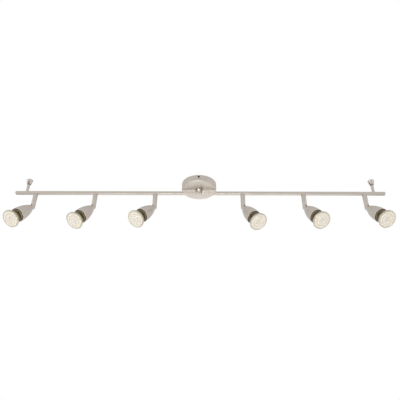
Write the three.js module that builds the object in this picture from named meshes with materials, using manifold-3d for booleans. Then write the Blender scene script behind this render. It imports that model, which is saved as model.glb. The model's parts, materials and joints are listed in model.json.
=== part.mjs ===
// A ceiling spotlight bar. A straight rectangular bar hangs under a round ceiling plate and
// carries six bullet-shaped heads. Each head swivels on its stem, tilts on a knuckle and holds
// a twist-lock reflector lamp. A short post with a sliding cup steadies each end of the bar.
//
// Millimetres, +Z up, X along the bar. The origin is the middle of the plane that meets the
// ceiling. A head that faces -Y has a swivel of 0, and one that points straight down a tilt of 0.
import * as THREE from "three";
import { mergeVertices } from "three/addons/utils/BufferGeometryUtils.js";
import Module from "manifold-3d";

const wasm = await Module();
wasm.setup();

// Clearances
const GAP = 0.3; // between faces that rest on each other
const RUNNING_GAP = 0.35; // round a pin, a screw or a stem in its hole
const REACH_PAST = 1; // how far a cutting shape runs past the face it opens

// Ceiling plate and what is inside it
const CANOPY_RADIUS = 50;
const CANOPY_DEPTH = 20;
const CANOPY_WALL = 1.2;
const CANOPY_EDGE_RADIUS = 2;
const BRACKET_WIDTH = 16;
const BRACKET_THICKNESS = 1.5;
const BRACKET_TAB_DEPTH = 10;
const BRACKET_SLOT_CENTRE = 26;
const BRACKET_SLOT_LENGTH = 14;
const BRACKET_SLOT_RADIUS = 2.25;
const SCREW_SLOT_SHARE = 0.3; // width of a driving slot, as a share of the head's radius
const SCREW_CROWN_SHARE = 0.75; // radius of the flat on a screw's head, as a share of its radius
const SCREW_EDGE_SHARE = 0.6; // height of a screw head's side, as a share of its height
const SIDE_SCREW_DROP = 6; // from the ceiling down to the screw's axis
const SIDE_SCREW_RADIUS = 1.6;
const SIDE_SCREW_LENGTH = 7;
const SIDE_SCREW_HEAD_RADIUS = 2.8;
const SIDE_SCREW_HEAD_HEIGHT = 1.6;
const FIXING_TUBE_RADIUS = 5;
const FIXING_TUBE_BORE_RADIUS = 3.5;
const FIXING_TUBE_RISE = 5.5; // above the plate's inner face
const FIXING_NUT_ACROSS_FLATS = 14;
const FIXING_NUT_HEIGHT = 3;
const TERMINAL_POLES = 3;
const TERMINAL_PITCH = 8.5;
const TERMINAL_DEPTH = 16;
const TERMINAL_HEIGHT = 10;
const TERMINAL_OFFSET = 26; // from the plate's centre to the block's centre
const TERMINAL_WIRE_RISE = 3.5; // from the block's foot to the middle of its wire ways
const TERMINAL_WIRE_RADIUS = 1.7;
const TERMINAL_SCREW_RADIUS = 1.9;

// Bar, its middle hub and its end caps
const BAR_DROP = 30; // from the ceiling down to the bar's centre line
const BAR_HALF_LENGTH = 533;
const BAR_DEPTH = 10;
const BAR_HEIGHT = 8;
const BAR_WALL = 1;
const BAR_CORNER_RADIUS = 1;
const HUB_RADIUS = 10.2;
const HUB_FLOOR = 1;
const HUB_CORE = 4; // half the distance between the two bar ends inside the hub
const CAP_THICKNESS = 1.5;
const CAP_PLUG_LENGTH = 7;

// End posts and the cups that slide on them
const POST_INSET = 31; // from the bar's end to the post
const POST_RADIUS = 4.1;
const POST_BORE_RADIUS = 2.8;
const POST_TOP_DROP = 2; // from the ceiling down to the post's top
const POST_FLOOR = 1.5;
const CUP_HEIGHT = 14;
const CUP_RIM_RADIUS = 9;
const CUP_RIM_BAND = 1.5;
const CUP_FOOT_RADIUS = 6.5;
const CUP_LID = 1.5;
const CUP_LIFT = 14.5; // how far the cup is drawn out above the ceiling plane
const CUP_GUIDE_OVERLAP = 7; // how much of the guide pin is inside the post when drawn out
const CUP_SCREW_RADIUS = 1.9;
const CUP_SCREW_LENGTH = 2.4;
const CUP_SCREW_RISE = 4; // height of its axis above the foot of the cup
const CUP_SCREW_AZIMUTHS = [3, -70]; // left and right cup, from -Y towards +X

// Stems and knuckles
const HEADS_PER_SIDE = 3;
const FIRST_HEAD_OFFSET = 126; // from the middle of the bar
const LAST_HEAD_INSET = 59; // from the bar's end
const STEM_RADIUS = 6.5;
const STEM_BORE_RADIUS = 4;
const PIVOT_DROP = 75.5; // from the ceiling down to the knuckle pin
const STEM_END = 6.7; // from the knuckle pin down to the stem's flat end
const NECK_RADIUS = 2.5; // hollow rivet that holds a stem, or solid one that holds a post
const NECK_BORE_RADIUS = 1.5;
const RIVET_RADIUS = 3.5;
const RIVET_HEIGHT = 1;
const TONGUE_THICKNESS = 4;
const TONGUE_RADIUS = 4.2;
const PIVOT_RADIUS = 1.5;
const PIVOT_HEAD_RADIUS = 2.7;
const PIVOT_HEAD_HEIGHT = 1.5;

// Heads, measured from the knuckle pin along the head's axis
const SHELL_NOSE_CLEARANCE = 0.5; // between the stem's round end and the nose
const SHELL_NOSE_RADIUS = 7;
const SHELL_NOSE_THICKNESS = 5.5;
const SHELL_RIM_STATION = 65;
const SHELL_WIDEST_STATION = 62;
const SHELL_WIDEST_RADIUS = 19.8;
const SHELL_WALL = 1.2;
const HOLDER_RADIUS = 12.2;
const HOLDER_HEIGHT = 14;
const HOLDER_SEAT = 2; // width of the ledge that the lampholder sits on
const HOLDER_PLATE = 2.2; // front plate that the lamp pins lock behind
const LAMP_BASE_STATION = 46; // where the bottom of the lamp's base seats
const LAMP_LENGTH = 46; // from the front face to the bottom of the base
const LAMP_RADIUS = 25;
const LAMP_RIM_DEPTH = 4;
const LAMP_SHOULDER = 2.5; // depth of the flare between the bowl's band and the rim
const LAMP_GLASS = 1.6;
const LENS_THICKNESS = 1.5;
const LENS_EDGE = 0.75; // bevel round the front glass
const BASE_RADIUS = 10.5;
const BASE_SKIRT = 3; // height of the base's straight side
const BASE_TAPER = 1; // how much narrower the base is at its bottom
const BASE_HEIGHT = 9;
const BOWL_CLEARANCE = 0.6; // between the bowl and the shell's mouth
const BOWL_FULLNESS = 0.6; // power that the bowl's radius grows with, 1 for a straight cone
const BAND_FLARE = 1.5; // how much the bowl's band widens between the shell and the shoulder
const PIN_SPACING = 10;
const PIN_RADIUS = 1.5;
const PIN_LENGTH = 7;
const PIN_HEAD_RADIUS = 2.4;
const PIN_HEAD_HEIGHT = 3;
const LAMP_TWIST = 20; // degrees between locked and released

// Swivel and tilt of each head, in degrees, from -X to +X
const HEAD_AIMS = [[-27, 40], [-33, 38], [-41, 43], [38, 38], [27, 39], [22, 41]];

// How finely round things are drawn
const ROUND_LARGE = 32;
const ROUND_LAMP = 28;
const ROUND_SHELL = 16;
const ROUND_MEDIUM = 12;
const ROUND_SMALL = 8;
const SHELL_OUTSIDE_STEPS = 6;
const SHELL_INSIDE_STEPS = 2;
const BOWL_STEPS = 3;
const CORNER_STEPS = 1; // curve divisions of a small extruded corner
const SLOT_STEPS = 2; // curve divisions of an extruded slot end

// Places that follow from the sizes above
const BAR_TOP = -BAR_DROP + BAR_HEIGHT / 2;
const BAR_UNDERSIDE = -BAR_DROP - BAR_HEIGHT / 2;
const CANOPY_INNER_FACE = -CANOPY_DEPTH + CANOPY_WALL;
const HUB_TOP = -CANOPY_DEPTH - GAP;
const HUB_BOTTOM = BAR_UNDERSIDE - GAP - HUB_FLOOR;
const POST_OFFSET = BAR_HALF_LENGTH - POST_INSET;
const LAST_HEAD_OFFSET = BAR_HALF_LENGTH - LAST_HEAD_INSET;
const HEAD_PITCH = (LAST_HEAD_OFFSET - FIRST_HEAD_OFFSET) / (HEADS_PER_SIDE - 1);
const SHELL_NOSE_START = STEM_RADIUS + SHELL_NOSE_CLEARANCE;
const LAMP_FACE_STATION = LAMP_BASE_STATION + LAMP_LENGTH;
const HOLDER_FRONT_STATION = LAMP_BASE_STATION - GAP;
const HOLDER_BACK_STATION = HOLDER_FRONT_STATION - HOLDER_HEIGHT;

// Finishes
const satinNickel = new THREE.MeshStandardMaterial({ color: 0xc4bcb1, roughness: 0.38, metalness: 0.9 });
const zincSteel = new THREE.MeshStandardMaterial({ color: 0xa9abad, roughness: 0.45, metalness: 0.9 });
const screwSteel = new THREE.MeshStandardMaterial({ color: 0x6f675c, roughness: 0.4, metalness: 0.9 });
const whiteNylon = new THREE.MeshStandardMaterial({ color: 0xe9e6dd, roughness: 0.6, metalness: 0 });
const ceramic = new THREE.MeshStandardMaterial({ color: 0xe6e0d2, roughness: 0.7, metalness: 0 });
const dichroicGlass = new THREE.MeshStandardMaterial({ color: 0x4a4326, roughness: 0.12, metalness: 0.6 });
const lensGlass = new THREE.MeshStandardMaterial({ color: 0xe8e2cf, roughness: 0.1, metalness: 0 });

const radians = THREE.MathUtils.degToRad;

// ---------------------------------------------------------------------------------------------
// Solids
// ---------------------------------------------------------------------------------------------

/** Turns a closed three.js geometry into a solid, with its faces pointing outwards. */
function solid(geometry) {
  const bare = new THREE.BufferGeometry();
  bare.setAttribute("position", geometry.attributes.position);
  bare.setIndex(geometry.index);
  const merged = mergeVertices(bare, 1e-4);
  const points = merged.attributes.position;
  const corner = [new THREE.Vector3(), new THREE.Vector3(), new THREE.Vector3()];
  const triangles = [];
  let volume = 0;
  for (let i = 0; i < merged.index.count; i += 3) {
    const ids = [0, 1, 2].map((k) => merged.index.getX(i + k));
    if (new Set(ids).size < 3) continue;
    corner.forEach((vector, k) => vector.fromBufferAttribute(points, ids[k]));
    volume += corner[0].dot(corner[1].clone().cross(corner[2]));
    triangles.push(ids);
  }
  const outward = volume > 0 ? triangles : triangles.map(([a, b, c]) => [a, c, b]);
  return new wasm.Manifold(new wasm.Mesh({
    numProp: 3,
    vertProperties: new Float32Array(points.array),
    triVerts: new Uint32Array(outward.flat()),
  }));
}

/** Cuts every tool out of a solid. */
function cut(body, ...tools) {
  return tools.reduce((rest, tool) => rest.subtract(tool), body);
}

/** Joins solids that overlap. */
function join(...bodies) {
  return bodies.reduce((whole, body) => whole.add(body));
}

/** Revolves [radius, z] points about Z. The outline starts and ends on the axis. */
function turned(outline, segments) {
  const points = outline.map(([radius, z]) => new THREE.Vector2(radius, z));
  return solid(new THREE.LatheGeometry(points, segments).rotateX(Math.PI / 2));
}

/** Revolves a closed outline of [radius, z] points that stays clear of the axis. */
function turnedRing(outline, segments) {
  return turned([...outline, outline[0]], segments);
}

/** A round bar along Z between two heights. */
function roundBar(radius, low, high, segments = ROUND_SMALL) {
  return turned([[0, low], [radius, low], [radius, high], [0, high]], segments);
}

/** A box from its lowest corner to its highest corner. */
function box(low, high) {
  const size = high.map((value, k) => value - low[k]);
  const middle = high.map((value, k) => (value + low[k]) / 2);
  return solid(new THREE.BoxGeometry(...size).translate(...middle));
}

/** Extrudes an outline drawn in XY upwards along Z. */
function raised(shape, low, high, curveSegments) {
  const options = { depth: high - low, bevelEnabled: false, curveSegments };
  return solid(new THREE.ExtrudeGeometry(shape, options).translate(0, 0, low));
}

/** A rectangle with round corners, centred on the origin. */
function roundedRectangle(width, height, radius) {
  const x = width / 2;
  const y = height / 2;
  const shape = new THREE.Shape();
  shape.moveTo(radius - x, -y);
  shape.absarc(x - radius, radius - y, radius, -Math.PI / 2, 0);
  shape.absarc(x - radius, y - radius, radius, 0, Math.PI / 2);
  shape.absarc(radius - x, y - radius, radius, Math.PI / 2, Math.PI);
  shape.absarc(radius - x, radius - y, radius, Math.PI, Math.PI * 1.5);
  return shape;
}

/** A slot along Y with round ends, centred on the origin. */
function roundEndedSlot(length, radius) {
  const reach = length / 2 - radius;
  const shape = new THREE.Shape();
  shape.moveTo(radius, -reach);
  shape.absarc(0, reach, radius, 0, Math.PI);
  shape.absarc(0, -reach, radius, Math.PI, 2 * Math.PI);
  return shape;
}

/** Points on an arc round [radius, z], from one angle to another, both in degrees. */
function arcPoints([radius, z], arcRadius, from, to, steps) {
  const points = [];
  for (let i = 0; i <= steps; i += 1) {
    const angle = radians(from + ((to - from) * i) / steps);
    points.push([radius + arcRadius * Math.cos(angle), z + arcRadius * Math.sin(angle)]);
  }
  return points;
}

/** A named mesh made from a solid. */
function piece(name, body, material) {
  const mesh = body.getMesh();
  const positions = new Float32Array(mesh.numVert * 3);
  for (let i = 0; i < mesh.numVert; i += 1) {
    for (let k = 0; k < 3; k += 1) positions[3 * i + k] = mesh.vertProperties[mesh.numProp * i + k];
  }
  const geometry = new THREE.BufferGeometry();
  geometry.setAttribute("position", new THREE.BufferAttribute(positions, 3));
  geometry.setIndex(new THREE.BufferAttribute(new Uint32Array(mesh.triVerts), 1));
  geometry.computeVertexNormals();
  const result = new THREE.Mesh(geometry, material);
  result.name = name;
  return result;
}

// ---------------------------------------------------------------------------------------------
// Ceiling plate
// ---------------------------------------------------------------------------------------------

/** A drawn round cover, open to the ceiling, with a hole for each screw and the fixing tube. */
function canopy() {
  const innerEdge = CANOPY_EDGE_RADIUS - CANOPY_WALL;
  const edgeCentre = [CANOPY_RADIUS - CANOPY_EDGE_RADIUS, CANOPY_EDGE_RADIUS - CANOPY_DEPTH];
  const hole = FIXING_TUBE_RADIUS + RUNNING_GAP;
  const cover = turnedRing([
    [hole, -CANOPY_DEPTH],
    ...arcPoints(edgeCentre, CANOPY_EDGE_RADIUS, -90, 0, 2),
    [CANOPY_RADIUS, 0],
    [CANOPY_RADIUS - CANOPY_WALL, 0],
    ...arcPoints(edgeCentre, innerEdge, 0, -90, 1),
    [hole, CANOPY_INNER_FACE],
  ], ROUND_LARGE);
  const screwHole = roundBar(
    SIDE_SCREW_RADIUS + RUNNING_GAP,
    -CANOPY_RADIUS - REACH_PAST,
    CANOPY_RADIUS + REACH_PAST,
  ).rotate([90, 0, 0]).translate([0, 0, -SIDE_SCREW_DROP]);
  return cut(cover, screwHole);
}

/** Distance from the plate's centre to the outer face of the bracket's tabs. */
function bracketTabFace() {
  const inside = CANOPY_RADIUS - CANOPY_WALL - GAP;
  return Math.sqrt(inside ** 2 - (BRACKET_WIDTH / 2) ** 2) - GAP;
}

/** A flat strap against the ceiling, whose bent ends take the cover's side screws. */
function ceilingBracket() {
  const reach = bracketTabFace();
  const half = BRACKET_WIDTH / 2;
  const strap = box([-half, -reach, -BRACKET_THICKNESS], [half, reach, 0]);
  const tabs = [-1, 1].map((side) => {
    const faces = [side * reach, side * (reach - BRACKET_THICKNESS)].sort((a, b) => a - b);
    return box([-half, faces[0], -BRACKET_TAB_DEPTH], [half, faces[1], 0]);
  });
  const slotShape = roundEndedSlot(BRACKET_SLOT_LENGTH, BRACKET_SLOT_RADIUS);
  const slot = raised(slotShape, -BRACKET_THICKNESS - REACH_PAST, REACH_PAST, SLOT_STEPS);
  const slots = [-1, 1].map((side) => slot.translate([0, side * BRACKET_SLOT_CENTRE, 0]));
  const past = reach + REACH_PAST;
  const screwHoles = roundBar(SIDE_SCREW_RADIUS + RUNNING_GAP, -past, past)
    .rotate([90, 0, 0]).translate([0, 0, -SIDE_SCREW_DROP]);
  return cut(join(strap, ...tabs), ...slots, screwHoles);
}

/** A cheese-head screw along +Z with its shank below z = 0 and a driving slot in its head. */
function slottedScrew(radius, length, headRadius, headHeight) {
  const slot = SCREW_SLOT_SHARE * headRadius;
  const screw = turned([
    [0, -length],
    [radius, -length],
    [radius, 0],
    [headRadius, 0],
    [headRadius, SCREW_EDGE_SHARE * headHeight],
    [SCREW_CROWN_SHARE * headRadius, headHeight],
    [0, headHeight],
  ], ROUND_SMALL);
  const slotLow = [-headRadius - REACH_PAST, -slot / 2, headHeight / 2];
  const slotHigh = [headRadius + REACH_PAST, slot / 2, headHeight + REACH_PAST];
  return cut(screw, box(slotLow, slotHigh));
}

/** The side screw of one edge of the cover, on -Y (side -1) or +Y (side 1). */
function sideScrew(name, side) {
  const body = slottedScrew(
    SIDE_SCREW_RADIUS,
    SIDE_SCREW_LENGTH,
    SIDE_SCREW_HEAD_RADIUS,
    SIDE_SCREW_HEAD_HEIGHT,
  );
  const mesh = piece(name, body, screwSteel);
  mesh.rotation.x = -side * Math.PI / 2;
  mesh.position.set(0, side * (CANOPY_RADIUS + GAP), -SIDE_SCREW_DROP);
  return mesh;
}

/** The threaded tube that hangs the hub from the plate and lets the wires through. */
function fixingTube() {
  return turnedRing([
    [FIXING_TUBE_BORE_RADIUS, BAR_TOP + GAP],
    [FIXING_TUBE_RADIUS, BAR_TOP + GAP],
    [FIXING_TUBE_RADIUS, CANOPY_INNER_FACE + FIXING_TUBE_RISE],
    [FIXING_TUBE_BORE_RADIUS, CANOPY_INNER_FACE + FIXING_TUBE_RISE],
  ], ROUND_MEDIUM);
}

/** The hexagon nut on the fixing tube, inside the plate. */
function fixingNut() {
  const low = CANOPY_INNER_FACE + GAP;
  const corner = FIXING_NUT_ACROSS_FLATS / Math.sqrt(3);
  const hexagon = roundBar(corner, low, low + FIXING_NUT_HEIGHT, 6);
  const high = low + FIXING_NUT_HEIGHT + REACH_PAST;
  const bore = roundBar(FIXING_TUBE_RADIUS + RUNNING_GAP, low - REACH_PAST, high, ROUND_MEDIUM);
  return cut(hexagon, bore);
}

/** The mains terminal block, with a wire way through each pole and a screw way above it. */
function terminalBlock() {
  const low = CANOPY_INNER_FACE + GAP;
  const width = TERMINAL_POLES * TERMINAL_PITCH;
  const near = TERMINAL_OFFSET - TERMINAL_DEPTH / 2;
  const far = TERMINAL_OFFSET + TERMINAL_DEPTH / 2;
  const top = low + TERMINAL_HEIGHT;
  const wireHeight = low + TERMINAL_WIRE_RISE;
  let block = box([-width / 2, near, low], [width / 2, far, top]);
  for (let pole = 0; pole < TERMINAL_POLES; pole += 1) {
    const x = (pole - (TERMINAL_POLES - 1) / 2) * TERMINAL_PITCH;
    const wireWay = roundBar(TERMINAL_WIRE_RADIUS, -far - REACH_PAST, REACH_PAST - near)
      .rotate([90, 0, 0]).translate([x, 0, wireHeight]);
    const screwWay = roundBar(TERMINAL_SCREW_RADIUS, wireHeight, top + REACH_PAST)
      .translate([x, TERMINAL_OFFSET, 0]);
    block = cut(block, wireWay, screwWay);
  }
  return block;
}

// ---------------------------------------------------------------------------------------------
// Bar
// ---------------------------------------------------------------------------------------------

/** The round boss that joins the two halves of the bar under the plate. */
function hub() {
  const boss = roundBar(HUB_RADIUS, HUB_BOTTOM, HUB_TOP, ROUND_SHELL);
  const holeRadius = FIXING_TUBE_RADIUS + RUNNING_GAP;
  const tubeHole = roundBar(holeRadius, BAR_TOP, HUB_TOP + REACH_PAST, ROUND_MEDIUM);
  const reach = HUB_RADIUS + REACH_PAST;
  const halfDepth = BAR_DEPTH / 2 + GAP;
  const barWay = box([-reach, -halfDepth, BAR_UNDERSIDE - GAP], [reach, halfDepth, BAR_TOP + GAP]);
  return cut(boss, tubeHole, barWay);
}

/** Places of the heads along one half of the bar, from the middle outwards. */
function headOffsets() {
  const steps = Array.from({ length: HEADS_PER_SIDE }, (_, step) => step);
  return steps.map((step) => FIRST_HEAD_OFFSET + step * HEAD_PITCH);
}

/** One half of the bar, on -X (side -1) or +X (side 1): a rectangular tube with rivet holes. */
function barHalf(side) {
  const start = HUB_CORE;
  const end = BAR_HALF_LENGTH - CAP_THICKNESS - GAP;
  const outer = roundedRectangle(BAR_HEIGHT, BAR_DEPTH, BAR_CORNER_RADIUS);
  const walls = 2 * BAR_WALL;
  outer.holes.push(roundedRectangle(BAR_HEIGHT - walls, BAR_DEPTH - walls, BAR_CORNER_RADIUS / 2));
  const tube = raised(outer, start, end, CORNER_STEPS).rotate([0, 90, 0]).translate([0, 0, -BAR_DROP]);
  const holeRadius = NECK_RADIUS + RUNNING_GAP;
  const floorTop = BAR_UNDERSIDE + BAR_WALL + REACH_PAST;
  const stemHole = roundBar(holeRadius, BAR_UNDERSIDE - REACH_PAST, floorTop);
  const stemHoles = headOffsets().map((x) => stemHole.translate([x, 0, 0]));
  const postHole = roundBar(holeRadius, BAR_TOP - BAR_WALL - REACH_PAST, BAR_TOP + REACH_PAST)
    .translate([POST_OFFSET, 0, 0]);
  const half = cut(tube, ...stemHoles, postHole);
  return side < 0 ? half.rotate([0, 0, 180]) : half;
}

/** The plug that closes the outer end of one half of the bar. */
function endCap(side) {
  const face = roundedRectangle(BAR_HEIGHT, BAR_DEPTH, BAR_CORNER_RADIUS);
  const inset = 2 * (BAR_WALL + GAP);
  const plug = roundedRectangle(BAR_HEIGHT - inset, BAR_DEPTH - inset, BAR_CORNER_RADIUS / 2);
  const faceStart = BAR_HALF_LENGTH - CAP_THICKNESS;
  const cap = join(
    raised(face, faceStart, BAR_HALF_LENGTH, CORNER_STEPS),
    raised(plug, faceStart - CAP_PLUG_LENGTH, faceStart + CAP_THICKNESS / 2, CORNER_STEPS),
  ).rotate([0, 90, 0]).translate([0, 0, -BAR_DROP]);
  return side < 0 ? cap.rotate([0, 0, 180]) : cap;
}

// ---------------------------------------------------------------------------------------------
// End posts and cups
// ---------------------------------------------------------------------------------------------

/** A hollow post riveted into the top of the bar, which guides the cup's pin. */
function post() {
  const foot = BAR_TOP + GAP;
  const inside = BAR_TOP - BAR_WALL - GAP;
  return turned([
    [0, inside - RIVET_HEIGHT],
    [RIVET_RADIUS, inside - RIVET_HEIGHT],
    [RIVET_RADIUS, inside],
    [NECK_RADIUS, inside],
    [NECK_RADIUS, foot],
    [POST_RADIUS, foot],
    [POST_RADIUS, -POST_TOP_DROP],
    [POST_BORE_RADIUS, -POST_TOP_DROP],
    [POST_BORE_RADIUS, foot + POST_FLOOR],
    [0, foot + POST_FLOOR],
  ], ROUND_MEDIUM);
}

/** The flared cup with its guide pin, drawn out by CUP_LIFT, with a hole for its locking screw. */
function cup(index) {
  const rim = CUP_LIFT;
  const foot = rim - CUP_HEIGHT;
  const socketTop = rim - CUP_LID;
  const socketRadius = POST_RADIUS + RUNNING_GAP;
  const pinRadius = POST_BORE_RADIUS - RUNNING_GAP;
  const body = turned([
    [0, -POST_TOP_DROP - CUP_GUIDE_OVERLAP],
    [pinRadius, -POST_TOP_DROP - CUP_GUIDE_OVERLAP],
    [pinRadius, socketTop],
    [socketRadius, socketTop],
    [socketRadius, foot],
    [CUP_FOOT_RADIUS, foot],
    [CUP_RIM_RADIUS, rim - CUP_RIM_BAND],
    [CUP_RIM_RADIUS, rim],
    [0, rim],
  ], ROUND_SHELL);
  const start = (pinRadius + socketRadius) / 2;
  const screwHole = roundBar(CUP_SCREW_RADIUS + RUNNING_GAP, start, CUP_RIM_RADIUS)
    .rotate([90, 0, 0]).translate([0, 0, foot + CUP_SCREW_RISE]).rotate([0, 0, CUP_SCREW_AZIMUTHS[index]]);
  return cut(body, screwHole);
}

/** The grub screw that locks a cup on its post, with a hexagon socket in its outer end. */
function cupScrew(index) {
  const inner = POST_RADIUS + RUNNING_GAP;
  const outer = inner + CUP_SCREW_LENGTH;
  const screw = roundBar(CUP_SCREW_RADIUS, inner, outer);
  const socket = roundBar(CUP_SCREW_RADIUS / 2, outer - CUP_SCREW_LENGTH / 2, outer + REACH_PAST, 6);
  return cut(screw, socket).rotate([90, 0, 0])
    .translate([0, 0, CUP_LIFT - CUP_HEIGHT + CUP_SCREW_RISE]).rotate([0, 0, CUP_SCREW_AZIMUTHS[index]]);
}

// ---------------------------------------------------------------------------------------------
// Heads: each is drawn facing -Y, and its tilting pieces hang straight down from the knuckle pin
// ---------------------------------------------------------------------------------------------

/** The stem's lower end: square behind, and rounded about the pin on the side the head swings. */
function stemEnd(forkTop) {
  const bar = roundBar(STEM_RADIUS, -PIVOT_DROP - STEM_END, forkTop, ROUND_MEDIUM);
  const past = STEM_RADIUS + REACH_PAST;
  const corner = box([-past, -past, -PIVOT_DROP - past], [past, 0, -PIVOT_DROP]);
  const round = roundBar(STEM_END, -past, past, ROUND_LARGE)
    .rotate([0, 90, 0]).translate([0, 0, -PIVOT_DROP]);
  return cut(bar, cut(corner, round));
}

/** The tubular stem: a hollow rivet on top, a solid end and a fork for the head's tongue. */
function stem() {
  const top = BAR_UNDERSIDE - GAP;
  const inside = BAR_UNDERSIDE + BAR_WALL + GAP;
  const forkTop = TONGUE_RADIUS + GAP - PIVOT_DROP;
  const tube = turnedRing([
    [NECK_BORE_RADIUS, inside + RIVET_HEIGHT],
    [NECK_BORE_RADIUS, top - BAR_WALL],
    [STEM_BORE_RADIUS, top - BAR_WALL - STEM_BORE_RADIUS + NECK_BORE_RADIUS],
    [STEM_BORE_RADIUS, forkTop + STEM_BORE_RADIUS],
    [NECK_BORE_RADIUS, forkTop + NECK_BORE_RADIUS],
    [NECK_BORE_RADIUS, -PIVOT_DROP],
    [STEM_RADIUS, -PIVOT_DROP],
    [STEM_RADIUS, top],
    [NECK_RADIUS, top],
    [NECK_RADIUS, inside],
    [RIVET_RADIUS, inside],
    [RIVET_RADIUS, inside + RIVET_HEIGHT],
  ], ROUND_MEDIUM);
  const halfSlot = TONGUE_THICKNESS / 2 + GAP;
  const past = STEM_RADIUS + REACH_PAST;
  const fork = box([-halfSlot, -past, -PIVOT_DROP - past], [halfSlot, past, forkTop]);
  const pinHole = roundBar(PIVOT_RADIUS + RUNNING_GAP, -past, past)
    .rotate([0, 90, 0]).translate([0, 0, -PIVOT_DROP]);
  const headSeat = STEM_RADIUS - PIVOT_HEAD_HEIGHT - GAP;
  const headPocket = roundBar(PIVOT_HEAD_RADIUS + GAP, headSeat, past)
    .rotate([0, 90, 0]).translate([0, 0, -PIVOT_DROP]);
  return cut(join(tube, stemEnd(forkTop)), fork, pinHole, headPocket);
}

/** The screw that is the knuckle's pin, through both cheeks of the fork. */
function pivotScrew() {
  const seat = STEM_RADIUS - PIVOT_HEAD_HEIGHT;
  const length = seat + STEM_RADIUS - 2 * GAP;
  const screw = join(
    roundBar(PIVOT_RADIUS, -length, PIVOT_HEAD_HEIGHT),
    roundBar(PIVOT_HEAD_RADIUS, 0, PIVOT_HEAD_HEIGHT),
  );
  return screw.translate([0, 0, seat]).rotate([0, 90, 0]).translate([0, 0, -PIVOT_DROP]);
}

/** Radius of the arc that the shell's outline follows from its nose past its widest place. */
function shellArcRadius() {
  const run = SHELL_WIDEST_STATION - SHELL_NOSE_START;
  const rise = SHELL_WIDEST_RADIUS - SHELL_NOSE_RADIUS;
  return (run ** 2 + rise ** 2) / (2 * rise);
}

/** Outer radius of the shell at a distance from the knuckle pin. */
function shellRadius(station) {
  const arc = shellArcRadius();
  return SHELL_WIDEST_RADIUS - arc + Math.sqrt(arc ** 2 - (SHELL_WIDEST_STATION - station) ** 2);
}

/** Distance from the pin at which the shell's inside wall, at its normal thickness, has a radius. */
function shellStation(innerRadius) {
  const arc = shellArcRadius();
  const drop = SHELL_WIDEST_RADIUS - SHELL_WALL - innerRadius;
  return SHELL_WIDEST_STATION - Math.sqrt(arc ** 2 - (arc - drop) ** 2);
}

/** The bullet-shaped shell with its tongue. Its inside narrows to a ledge for the lampholder. */
function headShell() {
  const outside = [];
  for (let i = 0; i <= SHELL_OUTSIDE_STEPS; i += 1) {
    const along = i / SHELL_OUTSIDE_STEPS;
    const station = SHELL_NOSE_START + along * (SHELL_RIM_STATION - SHELL_NOSE_START);
    outside.push([shellRadius(station), -station]);
  }
  const seatStation = HOLDER_BACK_STATION - GAP;
  const seatRadius = HOLDER_RADIUS - HOLDER_SEAT;
  const wallStart = Math.max(seatStation, shellStation(HOLDER_RADIUS + GAP));
  const inside = [];
  for (let i = 0; i <= SHELL_INSIDE_STEPS; i += 1) {
    const along = i / SHELL_INSIDE_STEPS;
    const station = SHELL_RIM_STATION + along * (wallStart - SHELL_RIM_STATION);
    inside.push([shellRadius(station) - SHELL_WALL, -station]);
  }
  const pocket = SHELL_NOSE_START + SHELL_NOSE_THICKNESS;
  const skin = turned([
    [0, -SHELL_NOSE_START],
    ...outside,
    ...inside,
    [HOLDER_RADIUS + GAP, -seatStation],
    [seatRadius, -seatStation],
    [Math.max(seatRadius - (seatStation - pocket), SHELL_NOSE_RADIUS / 2), -pocket],
    [0, -pocket],
  ], ROUND_SHELL);
  const half = TONGUE_THICKNESS / 2;
  const eye = roundBar(TONGUE_RADIUS, -half, half).rotate([0, 90, 0]);
  const web = box(
    [-half, -TONGUE_RADIUS + GAP, -SHELL_NOSE_START - SHELL_NOSE_RADIUS / 2],
    [half, TONGUE_RADIUS - GAP, 0],
  );
  const pinHole = roundBar(PIVOT_RADIUS + RUNNING_GAP, -half - REACH_PAST, half + REACH_PAST)
    .rotate([0, 90, 0]);
  return cut(join(skin, eye, web), pinHole);
}

/** An arc-shaped slot round the head's axis, from a pin's release at angle 0 to its locked place. */
function twistSlot(width, low, high) {
  const middle = PIN_SPACING / 2;
  const half = width / 2;
  const turn = radians(LAMP_TWIST);
  const endX = middle * Math.cos(turn);
  const endY = middle * Math.sin(turn);
  const shape = new THREE.Shape();
  shape.moveTo(middle + half, 0);
  shape.absarc(0, 0, middle + half, 0, turn, false);
  shape.absarc(endX, endY, half, turn, turn + Math.PI, false);
  shape.absarc(0, 0, middle - half, turn, 0, true);
  shape.absarc(middle, 0, half, Math.PI, 2 * Math.PI, false);
  return raised(shape, low, high, SLOT_STEPS);
}

/** The ceramic lampholder. Each lamp pin enters a round hole and turns under the front plate. */
function lampholder() {
  const front = -HOLDER_FRONT_STATION;
  const back = -HOLDER_BACK_STATION;
  const block = roundBar(HOLDER_RADIUS, front, back, ROUND_SHELL);
  const neckWidth = 2 * (PIN_RADIUS + RUNNING_GAP);
  const headWidth = 2 * (PIN_HEAD_RADIUS + RUNNING_GAP);
  const entry = roundBar(headWidth / 2, front - REACH_PAST, front + HOLDER_PLATE + REACH_PAST)
    .translate([PIN_SPACING / 2, 0, 0]);
  const way = join(
    entry,
    twistSlot(neckWidth, front - REACH_PAST, front + HOLDER_PLATE + REACH_PAST),
    twistSlot(headWidth, front + HOLDER_PLATE, back + REACH_PAST),
  ).rotate([0, 0, -LAMP_TWIST]);
  return cut(block, way, way.rotate([0, 0, 180]));
}

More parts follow.
